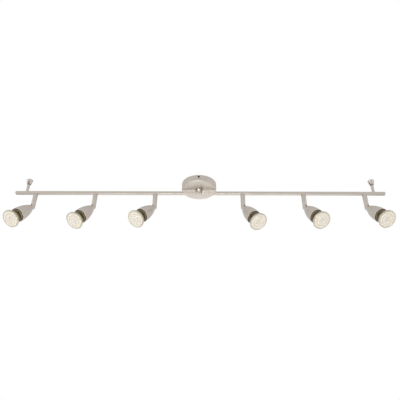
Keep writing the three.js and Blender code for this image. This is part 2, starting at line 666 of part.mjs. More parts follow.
/** The lamp's ceramic base with its two headed pins. */
function lampBase() {
  const bottom = -LAMP_BASE_STATION;
  const top = bottom - BASE_HEIGHT;
  const body = turned([
    [0, top],
    [BASE_RADIUS, top],
    [BASE_RADIUS, top + BASE_SKIRT],
    [BASE_RADIUS - BASE_TAPER, bottom],
    [0, bottom],
  ], ROUND_MEDIUM);
  const pinEnd = bottom + PIN_LENGTH;
  const pin = turned([
    [0, bottom - REACH_PAST],
    [PIN_RADIUS, bottom - REACH_PAST],
    [PIN_RADIUS, pinEnd - PIN_HEAD_HEIGHT],
    [PIN_HEAD_RADIUS, pinEnd - PIN_HEAD_HEIGHT],
    [PIN_HEAD_RADIUS, pinEnd],
    [0, pinEnd],
  ], ROUND_SMALL);
  const pins = [-1, 1].map((side) => pin.translate([side * PIN_SPACING / 2, 0, 0]));
  return join(body, ...pins);
}

/** Outline of the reflector glass from its back to its rim, drawn in by the thickness of a wall. */
function bowlOutline(inset) {
  const start = LAMP_BASE_STATION + BASE_HEIGHT + GAP;
  const rim = LAMP_FACE_STATION - LAMP_RIM_DEPTH;
  const throat = shellRadius(SHELL_RIM_STATION) - SHELL_WALL - BOWL_CLEARANCE;
  const outline = [[0, -start - inset]];
  for (let i = 0; i <= BOWL_STEPS; i += 1) {
    const fraction = i / BOWL_STEPS;
    const station = start + inset + fraction * (SHELL_RIM_STATION - start);
    const radius = BASE_RADIUS + (throat - BASE_RADIUS) * fraction ** BOWL_FULLNESS;
    outline.push([radius - inset, -station]);
  }
  outline.push([throat + BAND_FLARE - inset, -rim + LAMP_SHOULDER - inset / 2]);
  outline.push([LAMP_RADIUS - inset, -rim - inset / 2]);
  return outline;
}

/** The reflector bowl of coated glass, with its thicker front rim. */
function lampReflector() {
  const front = LAMP_FACE_STATION - LENS_THICKNESS - GAP;
  return turned([
    ...bowlOutline(0),
    [LAMP_RADIUS, -front],
    [LAMP_RADIUS - LAMP_GLASS, -front],
    ...bowlOutline(LAMP_GLASS).reverse(),
  ], ROUND_LAMP);
}

/** The flat front glass with its bevelled edge. */
function lampLens() {
  const back = -LAMP_FACE_STATION + LENS_THICKNESS;
  return turned([
    [0, -LAMP_FACE_STATION],
    [LAMP_RADIUS - LENS_EDGE, -LAMP_FACE_STATION],
    [LAMP_RADIUS, -LAMP_FACE_STATION + LENS_EDGE],
    [LAMP_RADIUS, back],
    [0, back],
  ], ROUND_LAMP);
}

/** One head: the swivelling group with its stem, and the tilting group with shell and lamp. */
function head(number, x, swivel, tilt) {
  const swivelling = new THREE.Group();
  swivelling.position.x = x;
  swivelling.rotation.z = radians(swivel);
  swivelling.add(piece(`stem_${number}`, stem(), satinNickel));
  swivelling.add(piece(`pivot_screw_${number}`, pivotScrew(), screwSteel));
  const tilting = new THREE.Group();
  tilting.position.z = -PIVOT_DROP;
  tilting.rotation.x = -radians(tilt);
  tilting.add(piece(`head_shell_${number}`, headShell(), satinNickel));
  tilting.add(piece(`lampholder_${number}`, lampholder(), ceramic));
  tilting.add(piece(`lamp_base_${number}`, lampBase(), ceramic));
  tilting.add(piece(`lamp_reflector_${number}`, lampReflector(), dichroicGlass));
  tilting.add(piece(`lamp_lens_${number}`, lampLens(), lensGlass));
  swivelling.add(tilting);
  return swivelling;
}

// ---------------------------------------------------------------------------------------------
// Assembly
// ---------------------------------------------------------------------------------------------

const fixture = new THREE.Group();

fixture.add(piece("ceiling_bracket", ceilingBracket(), zincSteel));
fixture.add(piece("canopy", canopy(), satinNickel));
fixture.add(sideScrew("canopy_screw_front", -1));
fixture.add(sideScrew("canopy_screw_back", 1));
fixture.add(piece("fixing_tube", fixingTube(), zincSteel));
fixture.add(piece("fixing_nut", fixingNut(), zincSteel));
fixture.add(piece("terminal_block", terminalBlock(), whiteNylon));
fixture.add(piece("hub", hub(), satinNickel));

["left", "right"].forEach((label, index) => {
  const side = index === 0 ? -1 : 1;
  fixture.add(piece(`bar_${label}`, barHalf(side), satinNickel));
  fixture.add(piece(`end_cap_${label}`, endCap(side), satinNickel));
  const support = new THREE.Group();
  support.position.x = side * POST_OFFSET;
  support.add(piece(`post_${label}`, post(), satinNickel));
  support.add(piece(`cup_${label}`, cup(index), satinNickel));
  support.add(piece(`cup_screw_${label}`, cupScrew(index), screwSteel));
  fixture.add(support);
});

const headPlaces = [...headOffsets().reverse().map((x) => -x), ...headOffsets()];
headPlaces.forEach((x, index) => {
  const [swivel, tilt] = HEAD_AIMS[index];
  fixture.add(head(index + 1, x, swivel, tilt));
});

export default fixture;
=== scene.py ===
"""A satin nickel ceiling spotlight bar with six adjustable heads, dressed around its frame.

Sizes are in metres and angles in degrees, unless a line says otherwise.
"""
import json
import logging
import math
from collections.abc import Callable
from dataclasses import dataclass
from enum import Enum

import bpy
from mathutils import Matrix, Vector


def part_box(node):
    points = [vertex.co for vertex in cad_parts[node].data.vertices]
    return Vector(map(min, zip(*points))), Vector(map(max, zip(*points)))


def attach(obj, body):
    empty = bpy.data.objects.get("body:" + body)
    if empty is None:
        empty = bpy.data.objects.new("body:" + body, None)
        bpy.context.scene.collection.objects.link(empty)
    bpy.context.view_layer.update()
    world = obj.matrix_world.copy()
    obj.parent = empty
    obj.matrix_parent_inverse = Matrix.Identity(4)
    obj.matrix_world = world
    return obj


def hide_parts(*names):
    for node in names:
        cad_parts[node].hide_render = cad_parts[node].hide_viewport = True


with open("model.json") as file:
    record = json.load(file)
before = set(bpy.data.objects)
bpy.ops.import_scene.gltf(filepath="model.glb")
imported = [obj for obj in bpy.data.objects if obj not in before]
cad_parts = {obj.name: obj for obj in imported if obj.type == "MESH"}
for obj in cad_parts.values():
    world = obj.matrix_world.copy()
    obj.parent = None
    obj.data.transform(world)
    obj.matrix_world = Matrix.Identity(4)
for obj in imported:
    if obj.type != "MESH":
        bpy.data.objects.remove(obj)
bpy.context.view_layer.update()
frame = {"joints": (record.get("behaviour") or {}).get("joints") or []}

MM = 0.001
HEADS = range(1, 7)
GRAIN = "grain"
MIX_COLOURS = (6, 7)  # places of the two colour sockets on a Mix node
MIX_RESULT = 2  # place of its colour output
UP = Vector((0, 0, 1))
log = logging.getLogger("spotlight_bar")

Outline = list[tuple[float, float]]
Colour = tuple[float, float, float]
Socket = bpy.types.NodeSocket
FaceTest = Callable[[Vector, Vector], bool]


class Lay(Enum):
    """Which way the fine lines of a finish run on a piece, in the piece's own frame."""

    ROUND = "round the turning axis"
    ALONG_X = "along X"
    ALONG_Z = "along Z"


# ---------------------------------------------------------------------------------------------
# Outlines
# ---------------------------------------------------------------------------------------------


def arc(centre: tuple[float, float], radius: float, start: float, end: float, steps: int) -> Outline:
    """Points on an arc.

    Args:
        centre: Distance from the turning axis, and height.
        radius: Radius of the arc.
        start: First angle in degrees, 0 outwards and 90 upwards.
        end: Last angle in degrees.
        steps: Number of stretches between the points.

    Returns:
        The points from the first angle to the last.
    """
    angles = [math.radians(start + (end - start) * i / steps) for i in range(steps + 1)]
    return [(centre[0] + radius * math.cos(a), centre[1] + radius * math.sin(a)) for a in angles]


def eased(outline: Outline, ease: float, closed: bool = False) -> Outline:
    """Breaks the sharp corners of an outline.

    Args:
        outline: Points of the outline.
        ease: How far along each side the easing starts.
        closed: Whether the last point joins the first.

    Returns:
        The outline with three points in place of each sharp corner.
    """
    result: Outline = []
    count = len(outline)
    for index, point in enumerate(outline):
        is_end = index in (0, count - 1)
        before = Vector(outline[index - 1])
        after = Vector(outline[(index + 1) % count])
        here = Vector(point)
        back, on = before - here, after - here
        bend = math.pi - back.angle(on) if back.length and on.length else 0.0
        if (is_end and not closed) or bend < math.radians(25):
            result.append(point)
            continue
        reach = min(ease, back.length * 0.4, on.length * 0.4)
        first = here + back.normalized() * reach
        last = here + on.normalized() * reach
        middle = (first + last) * 0.25 + here * 0.5
        result += [tuple(first), tuple(middle), tuple(last)]
    return result


# ---------------------------------------------------------------------------------------------
# Bench: modelling moves
# ---------------------------------------------------------------------------------------------


class Bench:
    """Modelling moves, each made with Blender's own operators."""

    @staticmethod
    def clear() -> None:
        """Leaves edit mode and deselects everything."""
        if bpy.context.object and bpy.context.object.mode != "OBJECT":
            bpy.ops.object.mode_set(mode="OBJECT")
        bpy.ops.object.select_all(action="DESELECT")

    @staticmethod
    def take(obj: bpy.types.Object) -> None:
        """Selects one object alone and makes it the active one."""
        Bench.clear()
        obj.select_set(True)
        bpy.context.view_layer.objects.active = obj

    @staticmethod
    def edit(obj: bpy.types.Object) -> None:
        """Opens one object in edit mode with all of its mesh selected."""
        Bench.take(obj)
        bpy.ops.object.mode_set(mode="EDIT")
        bpy.ops.mesh.select_all(action="SELECT")

    @staticmethod
    def tidy(obj: bpy.types.Object) -> None:
        """Merges doubles and turns all faces outwards."""
        Bench.edit(obj)
        bpy.ops.mesh.remove_doubles(threshold=2e-7)
        bpy.ops.mesh.normals_make_consistent(inside=False)
        Bench.clear()

    @staticmethod
    def select_faces(obj: bpy.types.Object, test: FaceTest) -> None:
        """Selects the faces that pass a test, in edit mode.

        Args:
            obj: The object, in its own frame.
            test: Called with each face's centre and normal, returns whether to select it.
        """
        Bench.take(obj)
        mesh = obj.data
        for part in (mesh.vertices, mesh.edges):
            part.foreach_set("select", [False] * len(part))
        for face in mesh.polygons:
            face.select = bool(test(face.center, face.normal))
        bpy.ops.object.mode_set(mode="EDIT")
        bpy.ops.mesh.select_mode(type="FACE")

    @staticmethod
    def turned(name: str, outline: Outline, steps: int, closed: bool = False) -> bpy.types.Object:
        """Draws an outline by extruding a vertex, and spins it round Z.

        Args:
            name: Name of the new piece.
            outline: Distances from the axis and heights, in metres.
            steps: Number of steps in the turn.
            closed: Whether the outline closes on itself, clear of the axis.

        Returns:
            The turned piece.
        """
        Bench.clear()
        bpy.ops.mesh.primitive_plane_add(size=MM)
        obj = bpy.context.object
        obj.name = name
        Bench.edit(obj)
        bpy.ops.mesh.merge(type="CENTER")
        bpy.ops.mesh.select_mode(type="VERT")
        bpy.ops.mesh.select_all(action="SELECT")
        radius, height = outline[0]
        bpy.ops.transform.translate(value=(radius, 0, height))
        path = outline[1:] + (outline[:1] if closed else [])
        for next_radius, next_height in path:
            step = (next_radius - radius, 0, next_height - height)
            bpy.ops.mesh.extrude_region_move(TRANSFORM_OT_translate={"value": step})
            radius, height = next_radius, next_height
        bpy.ops.mesh.select_all(action="SELECT")
        bpy.ops.mesh.spin(steps=steps, angle=2 * math.pi, center=(0, 0, 0), axis=(0, 0, 1))
        Bench.tidy(obj)
        return obj

    @staticmethod
    def block(name: str, low: Vector, high: Vector) -> bpy.types.Object:
        """A box between two corners, with its size in its mesh.

        Args:
            name: Name of the new piece.
            low: Lowest corner.
            high: Highest corner.

        Returns:
            The box.
        """
        Bench.clear()
        low, high = Vector(low), Vector(high)
        bpy.ops.mesh.primitive_cube_add(size=1, location=(low + high) / 2, scale=high - low)
        bpy.ops.object.transform_apply(location=True, rotation=True, scale=True)
        bpy.context.object.name = name
        return bpy.context.object

    @staticmethod
    def pin(name: str, radius: float, start: Vector, end: Vector, sides: int = 32) -> bpy.types.Object:
        """A round bar between two points.

        Args:
            name: Name of the new piece.
            radius: Radius of the bar.
            start: Middle of one end.
            end: Middle of the other end.
            sides: Number of sides.

        Returns:
            The bar.
        """
        Bench.clear()
        start, end = Vector(start), Vector(end)
        run = end - start
        bpy.ops.mesh.primitive_cylinder_add(
            vertices=sides,
            radius=radius,
            depth=run.length,
            location=(start + end) / 2,
            rotation=run.to_track_quat("Z", "Y").to_euler(),
        )
        bpy.ops.object.transform_apply(location=True, rotation=True, scale=True)
        bpy.context.object.name = name
        return bpy.context.object

    @staticmethod
    def apply(obj: bpy.types.Object, kind: str, **settings) -> None:
        """Adds a modifier, sets it and applies it.

        Args:
            obj: The piece.
            kind: The modifier's type.
            **settings: Values of the modifier.
        """
        Bench.take(obj)
        modifier = obj.modifiers.new(kind.title(), kind)
        for key, value in settings.items():
            setattr(modifier, key, value)
        bpy.ops.object.modifier_apply(modifier=modifier.name)

    @staticmethod
    def bevelled(obj: bpy.types.Object, width: float, segments: int = 2, angle: float = 35) -> None:
        """Rounds the edges that are sharper than an angle in degrees."""
        Bench.apply(
            obj,
            "BEVEL",
            width=width,
            segments=segments,
            limit_method="ANGLE",
            angle_limit=math.radians(angle),
            use_clamp_overlap=True,
            harden_normals=False,
        )

    @staticmethod
    def combine(obj: bpy.types.Object, tools: list[bpy.types.Object], operation: str) -> None:
        """Joins tools to a piece, cuts them out of it or keeps what they share, and throws them away.

        Args:
            obj: The piece.
            tools: The other solids.
            operation: UNION, DIFFERENCE or INTERSECT.
        """
        for tool in tools:
            Bench.apply(obj, "BOOLEAN", operation=operation, object=tool, solver="EXACT")
            bpy.data.objects.remove(tool)

    @staticmethod
    def cut(obj: bpy.types.Object, *tools: bpy.types.Object) -> None:
        """Cuts tools out of a piece and throws the tools away."""
        Bench.combine(obj, list(tools), "DIFFERENCE")

    @staticmethod
    def copy(obj: bpy.types.Object, name: str) -> bpy.types.Object:
        """A copy of a piece, with a mesh of its own."""
        Bench.take(obj)
        bpy.ops.object.duplicate(linked=False)
        bpy.context.object.name = name
        return bpy.context.object

    @staticmethod
    def discard(*objects: bpy.types.Object) -> None:
        """Removes patterns that were only copied from."""
        for obj in objects:
            bpy.data.objects.remove(obj)

    @staticmethod
    def place(obj: bpy.types.Object, matrix: Matrix) -> None:
        """Moves a piece to its place and writes the place into its mesh."""
        Bench.take(obj)
        obj.matrix_world = matrix
        bpy.ops.object.transform_apply(location=True, rotation=True, scale=True)

    @staticmethod
    def smooth(obj: bpy.types.Object, angle: float = 32) -> None:
        """Shades smooth across edges that are blunter than an angle in degrees."""
        Bench.take(obj)
        bpy.ops.object.shade_smooth_by_angle(angle=math.radians(angle))

    @staticmethod
    def mark_grain(obj: bpy.types.Object, lay: Lay, contrast: float = 24) -> None:
        """Stores where the lines of a brushed or plated finish lie on a piece.

        Args:
            obj: The piece, still in its own frame.
            lay: Which way the lines run.
            contrast: How many times faster the finish changes across the lines than along them.
        """
        values: list[float] = []
        for vertex in obj.data.vertices:
            x, y, z = vertex.co
            if lay is Lay.ROUND:
                values += [x, y, contrast * (math.hypot(x, y) - z)]
            elif lay is Lay.ALONG_X:
                values += [x, contrast * y, contrast * z]
            else:
                values += [contrast * x, contrast * y, z]
        attribute = obj.data.attributes.new(GRAIN, "FLOAT_VECTOR", "POINT")
        attribute.data.foreach_set("vector", values)

    @staticmethod
    def brushed(obj: bpy.types.Object, lay: Lay, contrast: float = 24) -> bpy.types.Object:
        """Stores the grain of a metal piece, shades it smooth and returns it."""
        Bench.mark_grain(obj, lay, contrast)
        Bench.smooth(obj)
        return obj


# ---------------------------------------------------------------------------------------------
# Shader building
# ---------------------------------------------------------------------------------------------


class Wiring:
    """Adds nodes to one node tree and links them."""

    def __init__(self, tree: bpy.types.NodeTree) -> None:
        """Starts on an empty tree."""
        self.tree = tree
        tree.nodes.clear()

    def add(self, kind: str, inputs: dict | None = None, **settings) -> bpy.types.Node:
        """Adds a node.

        Args:
            kind: The node's type, without the ShaderNode prefix.
            inputs: Socket names or places, each with a value or a socket to link from.
            **settings: Other values of the node.

        Returns:
            The node.
        """
        node = self.tree.nodes.new(kind if kind.startswith("NodeGroup") else f"ShaderNode{kind}")
        for key, value in settings.items():
            setattr(node, key, value)
        self.feed(node, inputs or {})
        return node

    def feed(self, node: bpy.types.Node, inputs: dict) -> None:
        """Gives each named socket of a node its value, or links another socket to it."""
        for key, value in inputs.items():
            if isinstance(value, Socket):
                self.tree.links.new(value, node.inputs[key])
            else:
                node.inputs[key].default_value = value

    def value(self, operation: str, *values: Socket | float, clamp: bool = False) -> Socket:
        """The result of a math node on numbers or sockets."""
        inputs = dict(enumerate(values))
        return self.add("Math", inputs, operation=operation, use_clamp=clamp).outputs[0]

    def spread(
        self, source: Socket, low: float, high: float, to_low: float = 0.0, to_high: float = 1.0
    ) -> Socket:
        """A number moved from one range to another and held inside it.

        Args:
            source: The socket that gives the number.
            low: Start of its range.
            high: End of its range.
            to_low: What the start becomes.
            to_high: What the end becomes.

        Returns:
            The output socket.
        """
        inputs = {"Value": source, "From Min": low, "From Max": high, "To Min": to_low, "To Max": to_high}
        return self.add("MapRange", inputs, clamp=True).outputs[0]

    def blend(
        self, mask: Socket, first: Colour | Socket, second: Colour | Socket, share: float = 1.0
    ) -> Socket:
        """A colour between two colours.

        Args:
            mask: The socket that says how far it is from the first to the second.
            first: Colour or socket where the mask is 0.
            second: Colour or socket where the mask is 1.
            share: How much of the mask counts.

        Returns:
            The output socket.
        """
        factor = mask if share == 1.0 else self.value("MULTIPLY", mask, share)
        node = self.add("Mix", {"Factor": factor}, data_type="RGBA")
        for place, colour in zip(MIX_COLOURS, (first, second)):
            is_socket = isinstance(colour, Socket)
            self.feed(node, {place: colour if is_socket else (*colour, 1)})
        return node.outputs[MIX_RESULT]


@dataclass(frozen=True)
class Effect:
    """A shader node group that several finishes use, with named inputs and outputs."""

    name: str
    inputs: tuple[tuple[str, str, float], ...]
    outputs: tuple[tuple[str, str], ...]

    def group(self) -> bpy.types.NodeTree:
        """The node group, built the first time it is asked for."""
        found = bpy.data.node_groups.get(self.name)
        if found:
            return found
        tree = bpy.data.node_groups.new(self.name, "ShaderNodeTree")
        for label, kind, value in self.inputs:
            socket = tree.interface.new_socket(label, in_out="INPUT", socket_type=f"NodeSocket{kind}")
            if kind == "Float":
                socket.default_value = value
        for label, kind in self.outputs:
            tree.interface.new_socket(label, in_out="OUTPUT", socket_type=f"NodeSocket{kind}")
        wiring = Wiring(tree)
        source = wiring.add("NodeGroupInput").outputs
        results = self.wire(wiring, source)
        wiring.add("NodeGroupOutput", results)
        return tree

    def wire(self, wiring: Wiring, source: bpy.types.NodeOutputs) -> dict[str, Socket]:
        """Builds the group's nodes and returns the socket for each output."""
        raise NotImplementedError

    def use(self, wiring: Wiring, **inputs: Socket | float) -> dict[str, Socket]:
        """Places the group in a material.

        Args:
            wiring: The material's nodes.
            **inputs: Values or sockets, by input name with underscores for spaces.

        Returns:
            The group's output sockets by name.
        """
        node = wiring.add("Group", None, node_tree=self.group())
        wiring.feed(node, {key.replace("_", " "): value for key, value in inputs.items()})
        return {socket.name: socket for socket in node.outputs}


class BrushedLines(Effect):
    """Fine lines along the grain of a plated or brushed metal."""

    def wire(self, wiring: Wiring, source: bpy.types.NodeOutputs) -> dict[str, Socket]:
        """Two sizes of stretched noise, one for the lines and one for broader bands."""
        grain, scale = source["Grain"], source["Line Scale"]
        fine = wiring.add("TexNoise", {"Vector": grain, "Scale": scale, "Detail": 4.0})
        band_scale = wiring.value("MULTIPLY", scale, 0.17)
        bands = wiring.add("TexNoise", {"Vector": grain, "Scale": band_scale, "Detail": 2.0})
        lines = wiring.spread(fine.outputs[0], 0.32, 0.68)
        broad = wiring.spread(bands.outputs[0], 0.3, 0.7)
        mixed = wiring.value("MULTIPLY_ADD", broad, 0.4, wiring.value("MULTIPLY", lines, 0.6))
        return {"Lines": lines, "Bands": mixed}


class EdgeWear(Effect):
    """A mask of the edges, broken up as handling breaks them up."""

    def wire(self, wiring: Wiring, source: bpy.types.NodeOutputs) -> dict[str, Socket]:
        """Compares the normal of a rounded copy of the edges with the real one."""
        rounded = wiring.add("Bevel", {"Radius": source["Width"]}, samples=4)
        normal = wiring.add("NewGeometry").outputs["Normal"]
        facing = wiring.add("VectorMath", {0: rounded.outputs[0], 1: normal}, operation="DOT_PRODUCT")
        edge = wiring.spread(facing.outputs["Value"], 0.995, 0.86)
        noise = wiring.add("TexNoise", {"Vector": source["Place"], "Scale": 420.0, "Detail": 3.0})
        broken = wiring.spread(noise.outputs[0], 0.35, 0.6, 0.25, 1.0)
        return {"Mask": wiring.value("MULTIPLY", edge, broken, clamp=True)}


class Handling(Effect):
    """Broad smudges and tone changes left by hands and by the plating bath."""

    def wire(self, wiring: Wiring, source: bpy.types.NodeOutputs) -> dict[str, Socket]:
        """Two noises of different size, one soft and one with clearer borders."""
        soft = wiring.add("TexNoise", {"Vector": source["Place"], "Scale": source["Scale"], "Detail": 2.0})
        print_scale = wiring.value("MULTIPLY", source["Scale"], 4.3)
        prints = wiring.add(
            "TexNoise", {"Vector": source["Place"], "Scale": print_scale, "Detail": 5.0, "Distortion": 1.2}
        )
        tone = wiring.spread(soft.outputs[0], 0.35, 0.65)
        smudge = wiring.spread(prints.outputs[0], 0.52, 0.72)
        return {"Tone": tone, "Smudge": wiring.value("MULTIPLY", smudge, tone, clamp=True)}


class SettledDust(Effect):
    """Fine dust that lies on what faces up."""

    def wire(self, wiring: Wiring, source: bpy.types.NodeOutputs) -> dict[str, Socket]:
        """A speckle, held back on faces that don't look up."""
        normal = wiring.add("NewGeometry").outputs["Normal"]
        height = wiring.add("SeparateXYZ", {0: normal}).outputs[2]
        upward = wiring.spread(height, 0.35, 0.95)
        speckle = wiring.add("TexNoise", {"Vector": source["Place"], "Scale": 900.0, "Detail": 4.0})
        drift = wiring.add("TexNoise", {"Vector": source["Place"], "Scale": 35.0, "Detail": 2.0})
        grains = wiring.spread(speckle.outputs[0], 0.42, 0.62)
        film = wiring.spread(drift.outputs[0], 0.3, 0.7, 0.3, 1.0)
        cover = wiring.value("MULTIPLY", wiring.value("MULTIPLY", grains, film), upward)
        return {"Mask": wiring.value("MULTIPLY", cover, source["Amount"], clamp=True)}


class Speckle(Effect):
    """Small grains and pores of a fired or moulded material."""

    def wire(self, wiring: Wiring, source: bpy.types.NodeOutputs) -> dict[str, Socket]:
        """Cells for the grains and noise for the tone."""
        cells = wiring.add("TexVoronoi", {"Vector": source["Place"], "Scale": source["Scale"]})
        tone = wiring.add("TexNoise", {"Vector": source["Place"], "Scale": source["Scale"], "Detail": 4.0})
        grains = wiring.spread(cells.outputs[0], 0.1, 0.5)
        return {"Grains": grains, "Tone": wiring.spread(tone.outputs[0], 0.3, 0.7)}


LINES = BrushedLines(
    "brushed_lines",
    (("Grain", "Vector", 0), ("Line Scale", "Float", 60)),
    (("Lines", "Float"), ("Bands", "Float")),
)
WEAR = EdgeWear("edge_wear", (("Place", "Vector", 0), ("Width", "Float", 0.4 * MM)), (("Mask", "Float"),))
HANDLING = Handling(
    "handling",
    (("Place", "Vector", 0), ("Scale", "Float", 20)),
    (("Tone", "Float"), ("Smudge", "Float")),
)
DUST = SettledDust("settled_dust", (("Place", "Vector", 0), ("Amount", "Float", 0.3)), (("Mask", "Float"),))
SPECKLE = Speckle(
    "speckle",
    (("Place", "Vector", 0), ("Scale", "Float", 600)),
    (("Grains", "Float"), ("Tone", "Float")),
)


@dataclass(frozen=True)
class Finish:
    """A material that is built once and then given to pieces."""

    name: str
    colour: Colour
    shade: Colour
    roughness: float = 0.35

    def material(self) -> bpy.types.Material:
        """The material, built the first time it is asked for."""
        found = bpy.data.materials.get(self.name)
        if found:
            return found
        made = bpy.data.materials.new(self.name)
        made.use_nodes = True
        wiring = Wiring(made.node_tree)
        surface = wiring.add("BsdfPrincipled")
        wiring.add("OutputMaterial", {"Surface": surface.outputs[0]})
        place = wiring.add("TexCoord").outputs["Object"]
        self.wire(wiring, surface, place)
        made.diffuse_color = (*self.colour, 1)
        return made

    def wire(self, wiring: Wiring, surface: bpy.types.Node, place: Socket) -> None:
        """Builds the material's nodes.

        Args:
            wiring: The material's nodes.
            surface: The Principled shader.
            place: The piece's own coordinates.
        """
        raise NotImplementedError

    def give(self, obj: bpy.types.Object) -> None:
        """Makes this the only finish of a piece."""
        obj.data.materials.clear()
        obj.data.materials.append(self.material())

    def roughened(self, wiring: Wiring, mask: Socket, below: float, above: float) -> Socket:
        """The finish's roughness, from a little below it to a little above it by a mask."""
        return wiring.spread(mask, 0.0, 1.0, self.roughness - below, self.roughness + above)

    @staticmethod
    def relief(
        wiring: Wiring, surface: bpy.types.Node, height: Socket, distance: float, strength: float
    ) -> None:
        """Feeds a height into the surface's normal."""
        bump = wiring.add("Bump", {"Height": height, "Distance": distance, "Strength": strength})
        wiring.feed(surface, {"Normal": bump.outputs[0]})


@dataclass(frozen=True)
class PlatedMetal(Finish):
    """Satin plated or brushed metal with fine lines, brighter worn edges, smudges and dust."""

    line_scale: float = 60
    edge: Colour = (0.86, 0.83, 0.78)
    dust: float = 0.25
    dust_colour: Colour = (0.62, 0.6, 0.56)
    wear_width: float = 0.45 * MM
    line_depth: float = 0.02 * MM

    def wire(self, wiring: Wiring, surface: bpy.types.Node, place: Socket) -> None:
        """Builds the metal; Args as in Finish.wire."""
        grain = wiring.add("Attribute", None, attribute_name=GRAIN).outputs["Vector"]
        lines = LINES.use(wiring, Grain=grain, Line_Scale=self.line_scale)
        hands = HANDLING.use(wiring, Place=place, Scale=16.0)
        brightened = WEAR.use(wiring, Place=place, Width=self.wear_width)["Mask"]
        dusty = DUST.use(wiring, Place=place, Amount=self.dust)["Mask"]
        toned = wiring.blend(lines["Bands"], self.colour, self.shade, 0.55)
        clouded = wiring.blend(hands["Tone"], toned, self.shade, 0.3)
        bright = wiring.blend(brightened, clouded, self.edge, 0.7)
        rough = self.roughened(wiring, lines["Lines"], 0.05, 0.06)
        greasy = wiring.value("MULTIPLY_ADD", hands["Smudge"], 0.12, rough)
        polished = wiring.value("MULTIPLY_ADD", brightened, -0.1, greasy)
        wiring.feed(surface, {
            "Base Color": wiring.blend(dusty, bright, self.dust_colour),
            "Metallic": wiring.value("SUBTRACT", 1.0, wiring.value("MULTIPLY", dusty, 0.8), clamp=True),
            "Roughness": wiring.value("MULTIPLY_ADD", dusty, 0.35, polished, clamp=True),
        })
        self.relief(wiring, surface, lines["Lines"], self.line_depth, 0.5)


@dataclass(frozen=True)
class FiredCeramic(Finish):
    """Unglazed ceramic with fine pores and a chalky tone change."""

    chalk: Colour = (0.93, 0.92, 0.89)
    wear_width: float = 0.4 * MM
    pore_depth: float = 0.05 * MM

    def wire(self, wiring: Wiring, surface: bpy.types.Node, place: Socket) -> None:
        """Builds the ceramic; Args as in Finish.wire."""
        fine = SPECKLE.use(wiring, Place=place, Scale=900.0)
        broad = HANDLING.use(wiring, Place=place, Scale=45.0)
        brightened = WEAR.use(wiring, Place=place, Width=self.wear_width)["Mask"]
        toned = wiring.blend(fine["Tone"], self.colour, self.shade, 0.6)
        marked = wiring.blend(broad["Smudge"], toned, self.shade, 0.3)
        wiring.feed(surface, {
            "Base Color": wiring.blend(brightened, marked, self.chalk, 0.6),
            "Roughness": self.roughened(wiring, fine["Tone"], 0.08, 0.08),
        })
        self.relief(wiring, surface, fine["Grains"], self.pore_depth, 0.6)


@dataclass(frozen=True)
class MouldedPlastic(Finish):
    """Moulded plastic with a fine spark texture and a film of dust."""

    dust: float = 0.35
    dust_colour: Colour = (0.6, 0.58, 0.54)
    spark_depth: float = 0.03 * MM

    def wire(self, wiring: Wiring, surface: bpy.types.Node, place: Socket) -> None:
        """Builds the plastic; Args as in Finish.wire."""
        fine = SPECKLE.use(wiring, Place=place, Scale=1400.0)
        broad = HANDLING.use(wiring, Place=place, Scale=30.0)
        dusty = DUST.use(wiring, Place=place, Amount=self.dust)["Mask"]
        toned = wiring.blend(broad["Tone"], self.colour, self.shade, 0.7)
        wiring.feed(surface, {
            "Base Color": wiring.blend(dusty, toned, self.dust_colour),
            "Roughness": self.roughened(wiring, fine["Grains"], 0.06, 0.08),
            "Subsurface Weight": 0.05,
        })
        self.relief(wiring, surface, fine["Grains"], self.spark_depth, 0.4)


@dataclass(frozen=True)
class CoatedGlass(Finish):
    """Glass with a dark mirror coat behind it, olive face on, with a painted sheen that turns it lighter
    and browner towards grazing angles.
    """

    grazing_sheen: Colour = (0.22, 0.16, 0.085)
    dust: float = 0.25
    dust_colour: Colour = (0.5, 0.48, 0.42)
    wave_depth: float = 0.15 * MM

    def wire(self, wiring: Wiring, surface: bpy.types.Node, place: Socket) -> None:
        """Builds the coated glass; Args as in Finish.wire."""
        broad = HANDLING.use(wiring, Place=place, Scale=60.0)
        dusty = DUST.use(wiring, Place=place, Amount=self.dust)["Mask"]
        facing = wiring.add("LayerWeight", {"Blend": 0.45}).outputs["Facing"]
        body = wiring.blend(broad["Tone"], self.colour, self.shade, 0.8)
        # Painted sheen: lighter and browner where the surface turns away from view.
        turned = wiring.blend(wiring.spread(facing, 0.2, 0.7), body, self.grazing_sheen)
        wiring.feed(surface, {
            "Base Color": wiring.blend(dusty, turned, self.dust_colour),
            "Roughness": self.roughened(wiring, broad["Smudge"], 0.0, 0.18),
            "Metallic": 0.7,
            "Coat Weight": 0.1,
            "Coat Roughness": 0.06,
            "Specular IOR Level": 0.2,
        })
        self.relief(wiring, surface, broad["Tone"], self.wave_depth, 0.3)


@dataclass(frozen=True)
class FacetedMirror(Finish):
    """The bright inside of the reflector, a warm metal mirror made of small facets."""

    def wire(self, wiring: Wiring, surface: bpy.types.Node, place: Socket) -> None:
        """Builds the mirror; Args as in Finish.wire."""
        broad = HANDLING.use(wiring, Place=place, Scale=120.0)
        facing = wiring.add("LayerWeight", {"Blend": 0.3}).outputs["Facing"]
        warm = wiring.blend(wiring.spread(facing, 0.2, 0.9), self.colour, self.shade)
        wiring.feed(surface, {
            "Base Color": wiring.blend(broad["Smudge"], warm, self.shade, 0.35),
            "Roughness": self.roughened(wiring, broad["Tone"], 0.05, 0.08),
            "Metallic": 1.0,
        })


